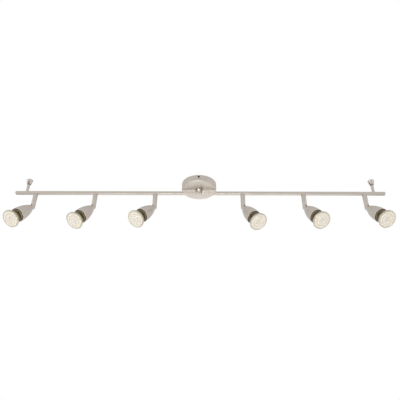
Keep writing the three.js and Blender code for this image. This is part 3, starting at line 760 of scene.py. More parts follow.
@dataclass(frozen=True)
class ClearGlass(Finish):
    """Pressed glass with faint ripples, a smear of dust and a tint."""

    ripple: float = 0.3
    clearness: float = 1.0
    refraction: float = 1.47

    def wire(self, wiring: Wiring, surface: bpy.types.Node, place: Socket) -> None:
        """Builds the glass; Args as in Finish.wire."""
        broad = HANDLING.use(wiring, Place=place, Scale=90.0)
        wiring.feed(surface, {
            "Base Color": wiring.blend(broad["Tone"], self.colour, self.shade),
            "Roughness": self.roughened(wiring, broad["Smudge"], 0.0, 0.12),
            "IOR": self.refraction,
            "Transmission Weight": self.clearness,
        })
        self.relief(wiring, surface, broad["Tone"], self.ripple * MM, 0.5)


@dataclass(frozen=True)
class Glow(Finish):
    """A glowing coil, hotter in some of its turns than in others."""

    strength: float = 6.0

    def wire(self, wiring: Wiring, surface: bpy.types.Node, place: Socket) -> None:
        """Builds the glow; Args as in Finish.wire."""
        heat = wiring.add("TexNoise", {"Vector": place, "Scale": 500.0, "Detail": 1.0}).outputs[0]
        colour = wiring.blend(wiring.spread(heat, 0.35, 0.65), self.colour, self.shade)
        wiring.feed(surface, {
            "Base Color": colour,
            "Emission Color": colour,
            "Emission Strength": self.strength,
            "Roughness": self.roughness,
        })


NICKEL = PlatedMetal("satin_nickel", (0.67, 0.615, 0.56), (0.58, 0.525, 0.47), 0.47)
# A lighter copy of the satin nickel for the ceiling plate cover and the hub: painted light, standing for
# the stronger light on their faces.
BRIGHTER_NICKEL = PlatedMetal("satin_nickel_painted_brighter", (0.76, 0.72, 0.67), (0.68, 0.64, 0.59), 0.38)
ZINC = PlatedMetal("zinc_plate", (0.62, 0.64, 0.66), (0.5, 0.52, 0.54), 0.42, 30, (0.75, 0.76, 0.78), 0.3)
SCREWS = PlatedMetal(
    "dark_screw_steel", (0.07, 0.055, 0.04), (0.03, 0.025, 0.02), 0.4, 90, (0.3, 0.27, 0.22), 0.05
)
BRASS = PlatedMetal("brass", (0.72, 0.52, 0.22), (0.55, 0.38, 0.15), 0.3, 60, (0.85, 0.68, 0.36), 0.1)
NYLON = MouldedPlastic("white_nylon", (0.8, 0.78, 0.73), (0.7, 0.68, 0.62), 0.5)
CERAMIC = FiredCeramic("white_ceramic", (0.8, 0.77, 0.7), (0.68, 0.64, 0.56), 0.65)
COAT = CoatedGlass("dark_mirror_coat", (0.012, 0.014, 0.001), (0.07, 0.065, 0.02), 0.12)
# A lighter copy of the coat, painted on two bands of the bowl as highlights.
HIGHLIGHT_COAT = CoatedGlass("mirror_coat_highlight", (0.33, 0.31, 0.18), (0.44, 0.39, 0.24), 0.2, (0.36, 0.28, 0.17))
MIRROR = FacetedMirror("faceted_mirror", (0.98, 0.92, 0.8), (0.95, 0.84, 0.66), 0.78)
LENS = ClearGlass("front_glass", (1.0, 0.945, 0.83), (0.97, 0.89, 0.74), 0.42, 0.2, 0.24)
# Brighter copies of the front glass: painted highlights, a bright spot in the middle and bright rings over
# the moulded rings.
CENTRE_HIGHLIGHT = ClearGlass("centre_highlight_glass", (1.0, 0.985, 0.94), (1.0, 0.95, 0.87), 0.35, 0.2, 0.25)
RING_HIGHLIGHT = ClearGlass("ring_highlight_glass", (1.0, 0.99, 0.94), (1.0, 0.97, 0.89), 0.2, 0.2, 0.12)
QUARTZ = ClearGlass("quartz", (1.0, 0.99, 0.96), (0.97, 0.95, 0.9), 0.1, 0.1)
RIM = ClearGlass("rim_glass", (0.88, 0.86, 0.76), (0.77, 0.75, 0.63), 0.3, 0.4, 0.35)
FILAMENT = Glow("filament", (1.0, 0.93, 0.78), (1.0, 0.86, 0.64), 0.5, 3.5)


# ---------------------------------------------------------------------------------------------
# Places read from the frame
# ---------------------------------------------------------------------------------------------


def joint(name: str) -> dict:
    """The frame's joint with this name."""
    return next(entry for entry in frame["joints"] if entry["name"] == name)


def stem_place(number: int) -> Matrix:
    """Where a stem hangs: its axis along Z, and its knuckle pin along X.

    Args:
        number: Number of the head, from 1.

    Returns:
        The matrix from the stem's own frame, with its origin in the ceiling plane.
    """
    tilt = joint(f"tilt_{number}")
    across = -Vector(tilt["axis"]).normalized()
    along = UP.cross(across)
    turn = Matrix((across, along, UP)).transposed().to_4x4()
    return Matrix.Translation((tilt["pos_m"][0], 0, 0)) @ turn


def head_place(number: int) -> Matrix:
    """Where a head points: its axis runs along -Z from the knuckle pin, which lies along X.

    Args:
        number: Number of the head, from 1.

    Returns:
        The matrix from the head's own frame, with its origin at the knuckle pin.
    """
    tilt = joint(f"tilt_{number}")
    across = -Vector(tilt["axis"]).normalized()
    back = -Vector(joint(f"lamp_twist_{number}")["axis"]).normalized()
    along = back.cross(across)
    turn = Matrix((across, along, back)).transposed().to_4x4()
    return Matrix.Translation(tilt["pos_m"]) @ turn


def dress(
    obj: bpy.types.Object,
    finish: Finish,
    body: str,
    nodes: tuple[str, ...],
    place: Matrix | None = None,
) -> None:
    """Finishes a piece: gives it its material, its place, its body and the nodes it stands for.

    Args:
        obj: The piece.
        finish: Its finish, or the first of its finishes where it already has some.
        body: The body that it rides on.
        nodes: The nodes that it stands for.
        place: Where it goes, if its mesh isn't there yet.
    """
    if not obj.data.materials:
        finish.give(obj)
    if place is not None:
        Bench.place(obj, place)
    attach(obj, body)
    if nodes:
        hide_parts(*nodes)
    log.info("%s: %d faces on %s", obj.name, len(obj.data.polygons), body)


@dataclass(frozen=True)
class Pattern:
    """A piece that is modelled once, and what each of its copies is called, wears and stands for."""

    shape: bpy.types.Object
    finish: Finish
    name: str
    node: str
    slot: str


def dress_heads(body: str, place_of: Callable[[int], Matrix], *patterns: Pattern) -> None:
    """Dresses a copy of each pattern for every head, and throws the patterns away.

    Args:
        body: Name of the bodies that the copies ride on, without the head's number.
        place_of: Called with a head's number, returns the place of its copies.
        *patterns: The patterns, in the order of making.
    """
    for number in HEADS:
        place = place_of(number)
        for pattern in patterns:
            nodes = (f"{pattern.node}_{number}",) if pattern.node else ()
            piece = Bench.copy(pattern.shape, f"{pattern.name}_{number}")
            dress(piece, pattern.finish, f"{body}_{number}", nodes, place)
    Bench.discard(*(pattern.shape for pattern in patterns))


# ---------------------------------------------------------------------------------------------
# Screws
# ---------------------------------------------------------------------------------------------


def ridges(radius: float, low: float, high: float, pitch: float, depth: float) -> Outline:
    """The side of a threaded bar, from its lower to its higher end.

    Args:
        radius: Radius over the thread.
        low: Height of the lower end.
        high: Height of the higher end.
        pitch: Distance from one ridge to the next.
        depth: Depth of the grooves.

    Returns:
        The points up the side.
    """
    count = max(1, int((high - low) / pitch))
    step = (high - low) / count
    side: Outline = []
    for turn in range(count):
        start = low + turn * step
        side += [(radius - depth, start), (radius, start + step * 0.4), (radius, start + step * 0.6)]
    return side + [(radius - depth, high)]


def slotted_screw(name: str, radius: float, length: float, head: float, rise: float) -> bpy.types.Object:
    """A round-head screw along Z with a threaded shank below z = 0 and a driving slot.

    Args:
        name: Name of the screw.
        radius: Radius of the shank.
        length: Length of the shank.
        head: Radius of the head.
        rise: Height of the head.

    Returns:
        The screw.
    """
    point, pitch, depth = 0.4 * MM, 0.6 * MM, 0.16 * MM
    slot_half, slot_floor = 0.17 * head, 0.45 * rise
    shank = ridges(radius, point - length, 0, pitch, depth)
    crown = []
    for step in range(7):
        lean = math.radians(6 + 28 * step / 6)
        crown.append((0.97 * head * math.cos(lean), 0.5 * rise + 0.5 * rise * step / 6))
    outline = [(0, -length), (radius * 0.7, -length), *shank, (head * 0.96, 0), (head, 0.12 * rise)]
    outline += [*crown, (0, rise)]
    screw = Bench.turned(name, outline, 40)
    low, high = (-head - MM, -slot_half, slot_floor), (head + MM, slot_half, rise + MM)
    Bench.cut(screw, Bench.block("slot", low, high))
    Bench.bevelled(screw, 0.06 * MM, 1, 50)
    return Bench.brushed(screw, Lay.ROUND)


def hexagon_screw(name: str, radius: float, length: float, across: float) -> bpy.types.Object:
    """A threaded grub screw along Z, with a hexagon socket in its upper end at z = 0.

    Args:
        name: Name of the screw.
        radius: Radius over the thread.
        length: Length of the screw.
        across: Radius of the socket over its corners.

    Returns:
        The screw.
    """
    point, shoulder, edge = 0.5 * MM, 0.35 * MM, 0.25 * MM
    pitch, depth = 0.5 * MM, 0.14 * MM
    side = ridges(radius, point - length, -shoulder, pitch, depth)
    outline = [(0, -length), (radius * 0.6, -length), *side, (radius - edge, 0), (0, 0)]
    screw = Bench.turned(name, outline, 36)
    socket = Bench.pin("socket", across, (0, 0, -length / 2), (0, 0, MM), 6)
    Bench.cut(screw, socket)
    Bench.bevelled(screw, 0.05 * MM, 1, 50)
    return Bench.brushed(screw, Lay.ROUND)


# ---------------------------------------------------------------------------------------------
# Ceiling plate
# ---------------------------------------------------------------------------------------------


@dataclass(frozen=True)
class CeilingPlate:
    """The drawn ceiling plate, its bracket and side screws, and the fixing tube with its nut."""

    radius: float = 50 * MM
    depth: float = 20 * MM
    wall: float = 1.2 * MM
    edge: float = 2 * MM
    clearance: float = 0.35 * MM
    screw_drop: float = 6 * MM
    screw_radius: float = 1.6 * MM
    screw_length: float = 7 * MM
    screw_head: float = 2.8 * MM
    screw_rise: float = 1.6 * MM
    screw_turn: float = 25
    head_gap: float = 0.3 * MM
    strap_half: float = 8 * MM
    strap_thickness: float = 1.5 * MM
    tab_depth: float = 10 * MM
    slot_middle: float = 26 * MM
    slot_half: float = 4.75 * MM
    slot_radius: float = 2.25 * MM
    tube_radius: float = 5 * MM
    tube_bore: float = 3.5 * MM
    tube_pitch: float = 0.8 * MM
    tube_groove: float = 0.22 * MM
    nut_flats: float = 14 * MM

    def build(self) -> None:
        """Builds and dresses every piece of the ceiling plate."""
        # The cover wears the lighter nickel copy, painted light for its brightly lit face.
        dress(self.cover(), BRIGHTER_NICKEL, "fixture", ("canopy",))
        dress(self.bracket(), ZINC, "fixture", ("ceiling_bracket",))
        self.side_screws()
        dress(self.tube(), ZINC, "fixture", ("fixing_tube",))
        dress(self.nut(), ZINC, "fixture", ("fixing_nut",))

    def screw_way(self, reach: float) -> bpy.types.Object:
        """The tool that bores the way of both side screws, as far out as reach."""
        ends = (0, -reach, -self.screw_drop), (0, reach, -self.screw_drop)
        return Bench.pin("screw_way", self.screw_radius + self.clearance, *ends)

    def cover(self) -> bpy.types.Object:
        """The round cover, drawn over a rounded edge, with holes for the screws and the tube."""
        hole = self.tube_radius + self.clearance
        centre = (self.radius - self.edge, self.edge - self.depth)
        outline = [(hole, -self.depth)]
        outline += arc(centre, self.edge, -90, 0, 10)
        outline += eased([(self.radius, 0), (self.radius - self.wall, 0)], 0.2 * MM)
        outline += arc(centre, self.edge - self.wall, 0, -90, 5)
        outline.append((hole, self.wall - self.depth))
        outline = eased(outline, 0.25 * MM, closed=True)
        cover = Bench.turned("ceiling_plate_cover", outline, 144, closed=True)
        Bench.cut(cover, self.screw_way(self.radius + MM))
        return Bench.brushed(cover, Lay.ROUND)

    def bracket(self) -> bpy.types.Object:
        """The strap with its two bent tabs, its ceiling screw slots and the side screws' holes."""
        half, thick = self.strap_half, self.strap_thickness
        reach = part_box("ceiling_bracket")[1].y
        strap = Bench.block("strap_bracket", (-half, -reach, -thick), (half, reach, 0))
        for side in (-1, 1):
            Bench.select_faces(strap, lambda c, n, s=side: n.y * s > 0.9)
            bpy.ops.mesh.extrude_region_move(TRANSFORM_OT_translate={"value": (0, 0, 0)})
            bpy.ops.transform.translate(value=(0, -side * thick, 0))
            Bench.clear()
            Bench.select_faces(strap, lambda c, n, s=side: n.z < -0.9 and c.y * s > reach - thick)
            drop = (0, 0, thick - self.tab_depth)
            bpy.ops.mesh.extrude_region_move(TRANSFORM_OT_translate={"value": drop})
            Bench.clear()
        Bench.tidy(strap)
        tools = []
        for side in (-1, 1):
            near, far = (side * self.slot_middle + end for end in (-self.slot_half, self.slot_half))
            for y in (near, far):
                tools.append(Bench.pin("slot_end", self.slot_radius, (0, y, -5 * MM), (0, y, MM)))
            low, high = (-self.slot_radius, near, -5 * MM), (self.slot_radius, far, MM)
            tools.append(Bench.block("slot_middle", low, high))
        Bench.cut(strap, *tools, self.screw_way(reach + MM))
        Bench.bevelled(strap, 0.2 * MM)
        return Bench.brushed(strap, Lay.ALONG_X)

    def side_screws(self) -> None:
        """The two screws through the edge of the cover."""
        sizes = self.screw_radius, self.screw_length, self.screw_head, self.screw_rise
        pattern = slotted_screw("pattern_screw", *sizes)
        for side, label in ((-1, "front"), (1, "back")):
            turn = Matrix.Rotation(-side * math.pi / 2, 4, "X")
            twist = Matrix.Rotation(math.radians(self.screw_turn * side), 4, "Z")
            seat = (0, side * (self.radius + self.head_gap), -self.screw_drop)
            place = Matrix.Translation(seat) @ turn @ twist
            screw = Bench.copy(pattern, f"cover_screw_{label}")
            dress(screw, SCREWS, "fixture", (f"canopy_screw_{label}",), place)
        Bench.discard(pattern)

    def tube(self) -> bpy.types.Object:
        """The threaded fixing tube."""
        low, high = (corner.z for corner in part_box("fixing_tube"))
        end, point = self.tube_radius - 0.4 * MM, 0.3 * MM
        side = ridges(self.tube_radius, low + point, high - point, self.tube_pitch, self.tube_groove)
        outline = [(self.tube_bore, low), (end, low), *side, (end, high), (self.tube_bore, high)]
        return Bench.brushed(Bench.turned("threaded_tube", outline, 48, closed=True), Lay.ROUND)

    def nut(self) -> bpy.types.Object:
        """The hexagon nut, with its corners turned down and a bore for the tube."""
        low, high = (corner.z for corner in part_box("fixing_nut"))
        corner, chamfer = self.nut_flats / math.sqrt(3), 0.5 * MM
        nut = Bench.pin("hexagon_nut", corner, (0, 0, low), (0, 0, high), 6)
        outline = [(0, low), (corner * 0.9, low), (corner, low + chamfer)]
        outline += [(corner, high - chamfer), (corner * 0.9, high), (0, high)]
        Bench.combine(nut, [Bench.turned("nut_blank", outline, 48)], "INTERSECT")
        ends = (0, 0, low - MM), (0, 0, high + MM)
        Bench.cut(nut, Bench.pin("bore", self.tube_radius + self.clearance, *ends, 48))
        Bench.bevelled(nut, 0.12 * MM, 1)
        return Bench.brushed(nut, Lay.ALONG_X)


@dataclass(frozen=True)
class TerminalBlock:
    """The mains terminal block, with a brass sleeve and a clamp screw in each of its poles."""

    poles: tuple[int, ...] = (-1, 0, 1)
    wire_rise: float = 3.5 * MM
    wire_way: float = 1.7 * MM
    screw_way: float = 1.9 * MM
    gap_half: float = 0.5 * MM
    gap_floor: float = 5.5 * MM
    sleeve_bore: float = 1.25 * MM
    sleeve_radius: float = 1.62 * MM
    sleeve_half: float = 6 * MM
    clamp_radius: float = 1.4 * MM
    clamp_length: float = 2.6 * MM
    clamp_head: float = 1.75 * MM
    clamp_rise: float = 1.1 * MM
    clamp_sink: float = 2.2 * MM
    clamp_turn: float = 40

    def build(self) -> None:
        """Builds and dresses the block, its sleeves and its clamp screws."""
        low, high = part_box("terminal_block")
        pitch, middle = (high.x - low.x) / 3, (low.y + high.y) / 2
        height = low.z + self.wire_rise
        dress(self.block(low, high, pitch), NYLON, "fixture", ("terminal_block",))
        sleeve = self.sleeve()
        sizes = self.clamp_radius, self.clamp_length, self.clamp_head, self.clamp_rise
        screw = slotted_screw("pattern_terminal_screw", *sizes)
        across = Matrix.Rotation(math.pi / 2, 4, "X")
        for number, pole in enumerate(self.poles, start=1):
            x = pole * pitch
            brass = Bench.copy(sleeve, f"terminal_sleeve_{number}")
            place = Matrix.Translation((x, middle, height)) @ across
            dress(brass, BRASS, "fixture", (), place)
            turn = Matrix.Rotation(math.radians(self.clamp_turn * number), 4, "Z")
            clamp = Bench.copy(screw, f"terminal_screw_{number}")
            place = Matrix.Translation((x, middle, high.z - self.clamp_sink)) @ turn
            dress(clamp, ZINC, "fixture", (), place)
        Bench.discard(sleeve, screw)

    def block(self, low: Vector, high: Vector, pitch: float) -> bpy.types.Object:
        """The moulded block, with gaps between its poles and ways for the wires and screws.

        Args:
            low: Lowest corner of the block.
            high: Highest corner of the block.
            pitch: Distance from pole to pole.

        Returns:
            The block.
        """
        block = Bench.block("terminal_block_body", low, high)
        middle, height = (low.y + high.y) / 2, low.z + self.wire_rise
        tools = []
        for side in (-1, 1):
            x = side * pitch / 2
            near = (x - self.gap_half, low.y - MM, low.z + self.gap_floor)
            tools.append(Bench.block("pole_gap", near, (x + self.gap_half, high.y + MM, high.z + MM)))
        for pole in self.poles:
            x = pole * pitch
            ends = (x, low.y - MM, height), (x, high.y + MM, height)
            tools.append(Bench.pin("wire_way", self.wire_way, *ends))
            ends = (x, middle, height), (x, middle, high.z + MM)
            tools.append(Bench.pin("screw_way", self.screw_way, *ends))
        Bench.cut(block, *tools)
        Bench.bevelled(block, 0.25 * MM, 2, 60)
        Bench.smooth(block)
        return block

    def sleeve(self) -> bpy.types.Object:
        """The brass sleeve that takes the wires, along Z."""
        bore, radius, half = self.sleeve_bore, self.sleeve_radius, self.sleeve_half
        corners = [(bore, -half), (radius, -half), (radius, half), (bore, half)]
        outline = eased(corners, 0.1 * MM, closed=True)
        sleeve = Bench.turned("pattern_sleeve", outline, 32, closed=True)
        Bench.mark_grain(sleeve, Lay.ROUND)
        return sleeve


# ---------------------------------------------------------------------------------------------
# Bar
# ---------------------------------------------------------------------------------------------


@dataclass(frozen=True)
class CarrierBar:
    """The rectangular bar in two halves, the hub that joins them and their end caps."""

    drop: float = 30 * MM
    depth: float = 10 * MM
    height: float = 8 * MM
    wall: float = 1 * MM
    corner: float = 0.8 * MM
    gap: float = 0.3 * MM
    hub_radius: float = 10.2 * MM
    tube_way: float = 5.35 * MM
    rivet_hole: float = 2.85 * MM
    cap_thickness: float = 1.5 * MM
    seam_gap: float = 0.25 * MM

    def build(self) -> None:
        """Builds and dresses the hub, both halves of the bar and the end caps."""
        # The hub wears the lighter nickel copy, painted light for its brightly lit front.
        dress(self.hub(), BRIGHTER_NICKEL, "fixture", ("hub",))
        half, cap = self.half(), self.cap()
        for turn, label in ((math.pi, "left"), (0.0, "right")):
            place = Matrix.Rotation(turn, 4, "Z")
            bar = Bench.copy(half, f"bar_half_{label}")
            dress(bar, NICKEL, "fixture", (f"bar_{label}",), place)
            plug = Bench.copy(cap, f"bar_cap_{label}")
            dress(plug, NICKEL, "fixture", (f"end_cap_{label}",), place)
        Bench.discard(half, cap)

    def hub(self) -> bpy.types.Object:
        """The round boss, cut through for the bar, with a seat for the fixing tube."""
        low, high = (corner.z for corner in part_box("hub"))
        outline = [(0, low), (self.hub_radius, low), (self.hub_radius, high), (0, high)]
        boss = Bench.turned("joining_hub", eased(outline, 0.5 * MM), 96)
        reach = self.hub_radius + MM
        half_depth, half_height = self.depth / 2 + self.gap, self.height / 2 + self.gap
        way = Bench.block(
            "bar_way",
            (-reach, -half_depth, -self.drop - half_height),
            (reach, half_depth, -self.drop + half_height),
        )
        hole = Bench.pin("tube_way", self.tube_way, (0, 0, -self.drop), (0, 0, high + MM), 48)
        Bench.cut(boss, way, hole)
        Bench.bevelled(boss, 0.12 * MM, 2, 60)
        return Bench.brushed(boss, Lay.ROUND)

    def rounded_bar(
        self, name: str, start: float, end: float, margin: float, corner: float
    ) -> bpy.types.Object:
        """A bar with round long edges, centred on the bar's line.

        Args:
            name: Name of the new piece.
            start: X of its near end.
            end: X of its far end.
            margin: How far its sides are inside the bar's.
            corner: Radius of its long edges.

        Returns:
            The rounded bar.
        """
        half_depth, half_height = self.depth / 2 - margin, self.height / 2 - margin
        low = (start, -half_depth, -self.drop - half_height)
        bar = Bench.block(name, low, (end, half_depth, -self.drop + half_height))
        Bench.take(bar)
        mesh = bar.data
        for part in (mesh.vertices, mesh.polygons):
            part.foreach_set("select", [False] * len(part))
        for edge in mesh.edges:
            first, last = (mesh.vertices[i].co for i in edge.vertices)
            edge.select = abs(last.x - first.x) > MM
        bpy.ops.object.mode_set(mode="EDIT")
        bpy.ops.mesh.select_mode(type="EDGE")
        bpy.ops.mesh.bevel(offset=corner, segments=5, affect="EDGES")
        Bench.clear()
        return bar

    def half(self) -> bpy.types.Object:
        """The right half of the bar: a tube with a hole for each stem's and post's rivet."""
        low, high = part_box("bar_right")
        bar = self.rounded_bar("pattern_bar", low.x, high.x, 0, self.corner)
        tools = [self.rounded_bar("bar_bore", low.x - MM, high.x + MM, self.wall, self.corner / 2)]
        under, top = -self.drop - self.height / 2, -self.drop + self.height / 2
        for number in HEADS:
            x = joint(f"swivel_{number}")["pos_m"][0]
            if x > 0:
                ends = (x, 0, under - MM), (x, 0, -self.drop)
                tools.append(Bench.pin("stem_hole", self.rivet_hole, *ends))
        x = joint("cup_right_slide")["pos_m"][0]
        tools.append(Bench.pin("post_hole", self.rivet_hole, (x, 0, -self.drop), (x, 0, top + MM)))
        Bench.cut(bar, *tools)
        return Bench.brushed(bar, Lay.ALONG_X, 30)

    def cap(self) -> bpy.types.Object:
        """The right end cap with its plug."""
        low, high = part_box("end_cap_right")
        seam = high.x - self.cap_thickness - self.seam_gap
        face = self.rounded_bar("pattern_cap", seam, high.x, 0, self.corner)
        Bench.bevelled(face, 0.1 * MM, 2, 60)
        margin = self.wall + self.gap
        plug = self.rounded_bar("plug", low.x, high.x - self.cap_thickness / 2, margin, self.corner / 2)
        Bench.combine(face, [plug], "UNION")
        return Bench.brushed(face, Lay.ALONG_Z)


# ---------------------------------------------------------------------------------------------
# End supports
# ---------------------------------------------------------------------------------------------


@dataclass(frozen=True)
class EndSupports:
    """The post near each end of the bar and the flared cup that slides on it."""

    post_radius: float = 4.1 * MM
    bore: float = 2.8 * MM
    neck: float = 2.5 * MM
    rivet: float = 3.5 * MM
    rim_radius: float = 9 * MM
    rim_band: float = 1.5 * MM
    foot_radius: float = 6.5 * MM
    lid: float = 1.5 * MM
    height: float = 14 * MM
    clearance: float = 0.35 * MM
    screw_radius: float = 1.9 * MM
    screw_length: float = 2.4 * MM
    screw_rise: float = 4 * MM
    screw_turns: tuple[float, float] = (3, -70)
    screw_gap: float = 0.3 * MM
    socket_across: float = 0.85 * MM
    rivet_rise: float = 1 * MM
    foot_rise: float = 2.6 * MM
    groove: float = 0.3 * MM
    bore_floor: float = 1.5 * MM
    foot_lip: float = 1.2 * MM

    def build(self) -> None:
        """Builds and dresses both posts, both cups and their locking screws."""
        post = self.post()
        screw = hexagon_screw("pattern_grub", self.screw_radius, self.screw_length, self.socket_across)
        for index, label in enumerate(("left", "right")):
            x = joint(f"cup_{label}_slide")["pos_m"][0]
            place = Matrix.Translation((x, 0, 0))
            support = Bench.copy(post, f"end_post_{label}")
            dress(support, NICKEL, "fixture", (f"post_{label}",), place)
            turn = Matrix.Rotation(math.radians(self.screw_turns[index]), 4, "Z")
            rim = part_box(f"cup_{label}")[1].z
            cup = self.cup(f"sliding_cup_{label}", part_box(f"cup_{label}")[0].z, rim)
            body = f"cup_{label}"
            dress(cup, NICKEL, body, (f"cup_{label}",), place @ turn)
            axis = rim - self.height + self.screw_rise
            outer = self.foot_radius + self.screw_gap
            seat = Matrix.Translation((0, -outer, axis)) @ Matrix.Rotation(math.pi / 2, 4, "X")
            grub = Bench.copy(screw, f"cup_grub_screw_{label}")
            dress(grub, SCREWS, body, (f"cup_screw_{label}",), place @ turn @ seat)
        Bench.discard(post, screw)

    def post(self) -> bpy.types.Object:
        """The hollow post with its rivet below, a seating ring at its foot and a turned top."""
        low, high = (corner.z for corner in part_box("post_left"))
        head, foot = low + self.rivet_rise, low + self.foot_rise
        floor, waist = foot + self.bore_floor, self.post_radius - self.groove
        outline = [
            (0, low), (self.rivet, low), (self.rivet, head), (self.neck, head), (self.neck, foot),
            (self.post_radius, foot), (self.post_radius, foot + 1.6 * MM),
            (waist, foot + 1.8 * MM), (waist, foot + 2.2 * MM), (self.post_radius, foot + 2.4 * MM),
            (self.post_radius, high), (self.bore, high), (self.bore, floor), (0, floor),
        ]
        post = Bench.turned("pattern_post", eased(outline, 0.3 * MM), 64)
        return Bench.brushed(post, Lay.ROUND)

    def cup(self, name: str, low: float, rim: float) -> bpy.types.Object:
        """The flared cup with its guide pin and the hole for its locking screw.

        Args:
            name: Name of the cup.
            low: Height of the guide pin's lower end.
            rim: Height of the cup's closed top.

        Returns:
            The cup.
        """
        foot, top = rim - self.height, rim - self.lid
        socket, pin = self.post_radius + self.clearance, self.bore - self.clearance
        rise = self.height - self.rim_band - self.foot_lip
        flare, steps, spread = [], 12, self.rim_radius - self.foot_radius
        for step in range(steps + 1):
            along = step / steps
            radius = self.foot_radius + spread * (0.82 * along + 0.18 * along**3)
            flare.append((radius, foot + self.foot_lip + rise * along))
        outline = [(0, low), (pin - 0.4 * MM, low), (pin, low + 0.6 * MM), (pin, top)]
        outline += [(socket, top), (socket, foot)]
        outline += [(self.foot_radius - 0.1 * MM, foot), *flare, (self.rim_radius, rim), (0, rim)]
        cup = Bench.turned(name, eased(outline, 0.3 * MM), 96)
        height = foot + self.screw_rise
        ends = (0, -(pin + socket) / 2, height), (0, -self.rim_radius, height)
        Bench.cut(cup, Bench.pin("screw_way", self.screw_radius + self.clearance, *ends))
        return Bench.brushed(cup, Lay.ROUND)


# ---------------------------------------------------------------------------------------------
# Heads
# ---------------------------------------------------------------------------------------------


@dataclass(frozen=True)
class Stem:
    """The stem of a head and the screw that is its knuckle pin."""

    radius: float = 6.5 * MM
    bore: float = 4 * MM
    neck: float = 2.5 * MM
    neck_bore: float = 1.5 * MM
    rivet: float = 3.5 * MM
    top: float = -34.3 * MM
    pin_height: float = -75.5 * MM
    end: float = 6.7 * MM
    fork_top: float = -71 * MM
    slot: float = 2.3 * MM
    pin_hole: float = 1.85 * MM
    pin_radius: float = 1.5 * MM
    screw_head: float = 2.7 * MM
    head_rise: float = 1.5 * MM
    gap: float = 0.3 * MM
    rivet_rise: float = 1 * MM
    pocket_gap: float = 0.1 * MM
    thread_start: float = 6.2 * MM
    thread_pitch: float = 0.5 * MM
    thread_groove: float = 0.13 * MM
    socket_across: float = 0.9 * MM
    socket_floor: float = 0.5 * MM

    def build(self) -> None:
        """Builds one stem and one knuckle screw, and dresses a copy of each for every head."""
        stem = Pattern(self.stem(), NICKEL, "head_stem", "stem", "satin_nickel")
        screw = Pattern(self.screw(), NICKEL, "knuckle_screw", "pivot_screw", "screw_steel")
        dress_heads("swivel", stem_place, stem, screw)

    def stem(self) -> bpy.types.Object:
        """The tube with its hollow rivet on top, and its fork, rounded where the head swings."""
        rivet_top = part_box("stem_1")[1].z
        top, rivet_seat, low = self.top, rivet_top - self.rivet_rise, self.pin_height - self.end
        corners = [
            (0, low), (self.radius, low), (self.radius, top), (self.neck, top), (self.neck, rivet_seat),
            (self.rivet, rivet_seat), (self.rivet, rivet_top), (self.neck_bore, rivet_top),
            (self.neck_bore, top - 1 * MM), (self.bore, top - 3.5 * MM),
            (self.bore, self.fork_top + 4 * MM), (self.neck_bore, self.fork_top + 1.5 * MM),
            (self.neck_bore, self.fork_top),
        ]
        stem = Bench.turned("pattern_stem", [*eased(corners, 0.35 * MM), (0, self.fork_top)], 72)
        past = self.radius + MM
        corner = Bench.block("corner", (-past, -past, self.pin_height - past), (past, 0, self.pin_height))
        ends = (-past - MM, 0, self.pin_height), (past + MM, 0, self.pin_height)
        Bench.cut(corner, Bench.pin("swing_round", self.end, *ends, 64))
        Bench.cut(stem, corner)
        near, far = (-self.slot, -past, self.pin_height - past), (self.slot, past, self.fork_top)
        slot = Bench.block("fork_slot", near, far)
        ends = (-past, 0, self.pin_height), (past, 0, self.pin_height)
        pin_way = Bench.pin("pin_way", self.pin_hole, *ends)
        seat = (self.radius - self.head_rise - self.gap, 0, self.pin_height)
        pocket = Bench.pin("head_pocket", self.screw_head + self.pocket_gap, seat, ends[1], 40)
        Bench.cut(stem, slot, pin_way, pocket)
        Bench.bevelled(stem, 0.12 * MM, 2, 50)
        return Bench.brushed(stem, Lay.ROUND)

    def screw(self) -> bpy.types.Object:
        """The knuckle screw along X, with a hexagon socket in its low round head."""
        seat = self.radius - self.head_rise
        end = seat + self.radius - 2 * self.gap
        point, crown = 0.4 * MM, 0.5 * MM
        outline = [(0, -end), (self.pin_radius - point, -end)]
        outline += ridges(
            self.pin_radius, point - end, -self.thread_start, self.thread_pitch, self.thread_groove
        )
        outline += [(self.pin_radius, 0.2 * MM - self.thread_start), (self.pin_radius, 0)]
        outline += [(self.screw_head, 0), (self.screw_head, self.head_rise - crown)]
        outline += [(self.screw_head - crown, self.head_rise - 0.05 * MM), (0, self.head_rise)]
        screw = Bench.turned("pattern_knuckle_screw", outline, 40)
        ends = (0, 0, self.socket_floor), (0, 0, self.head_rise + MM)
        Bench.cut(screw, Bench.pin("socket", self.socket_across, *ends, 6))
        Bench.mark_grain(screw, Lay.ROUND)
        place = Matrix.Translation((seat, 0, self.pin_height)) @ Matrix.Rotation(math.pi / 2, 4, "Y")
        Bench.place(screw, place)
        Bench.smooth(screw)
        return screw


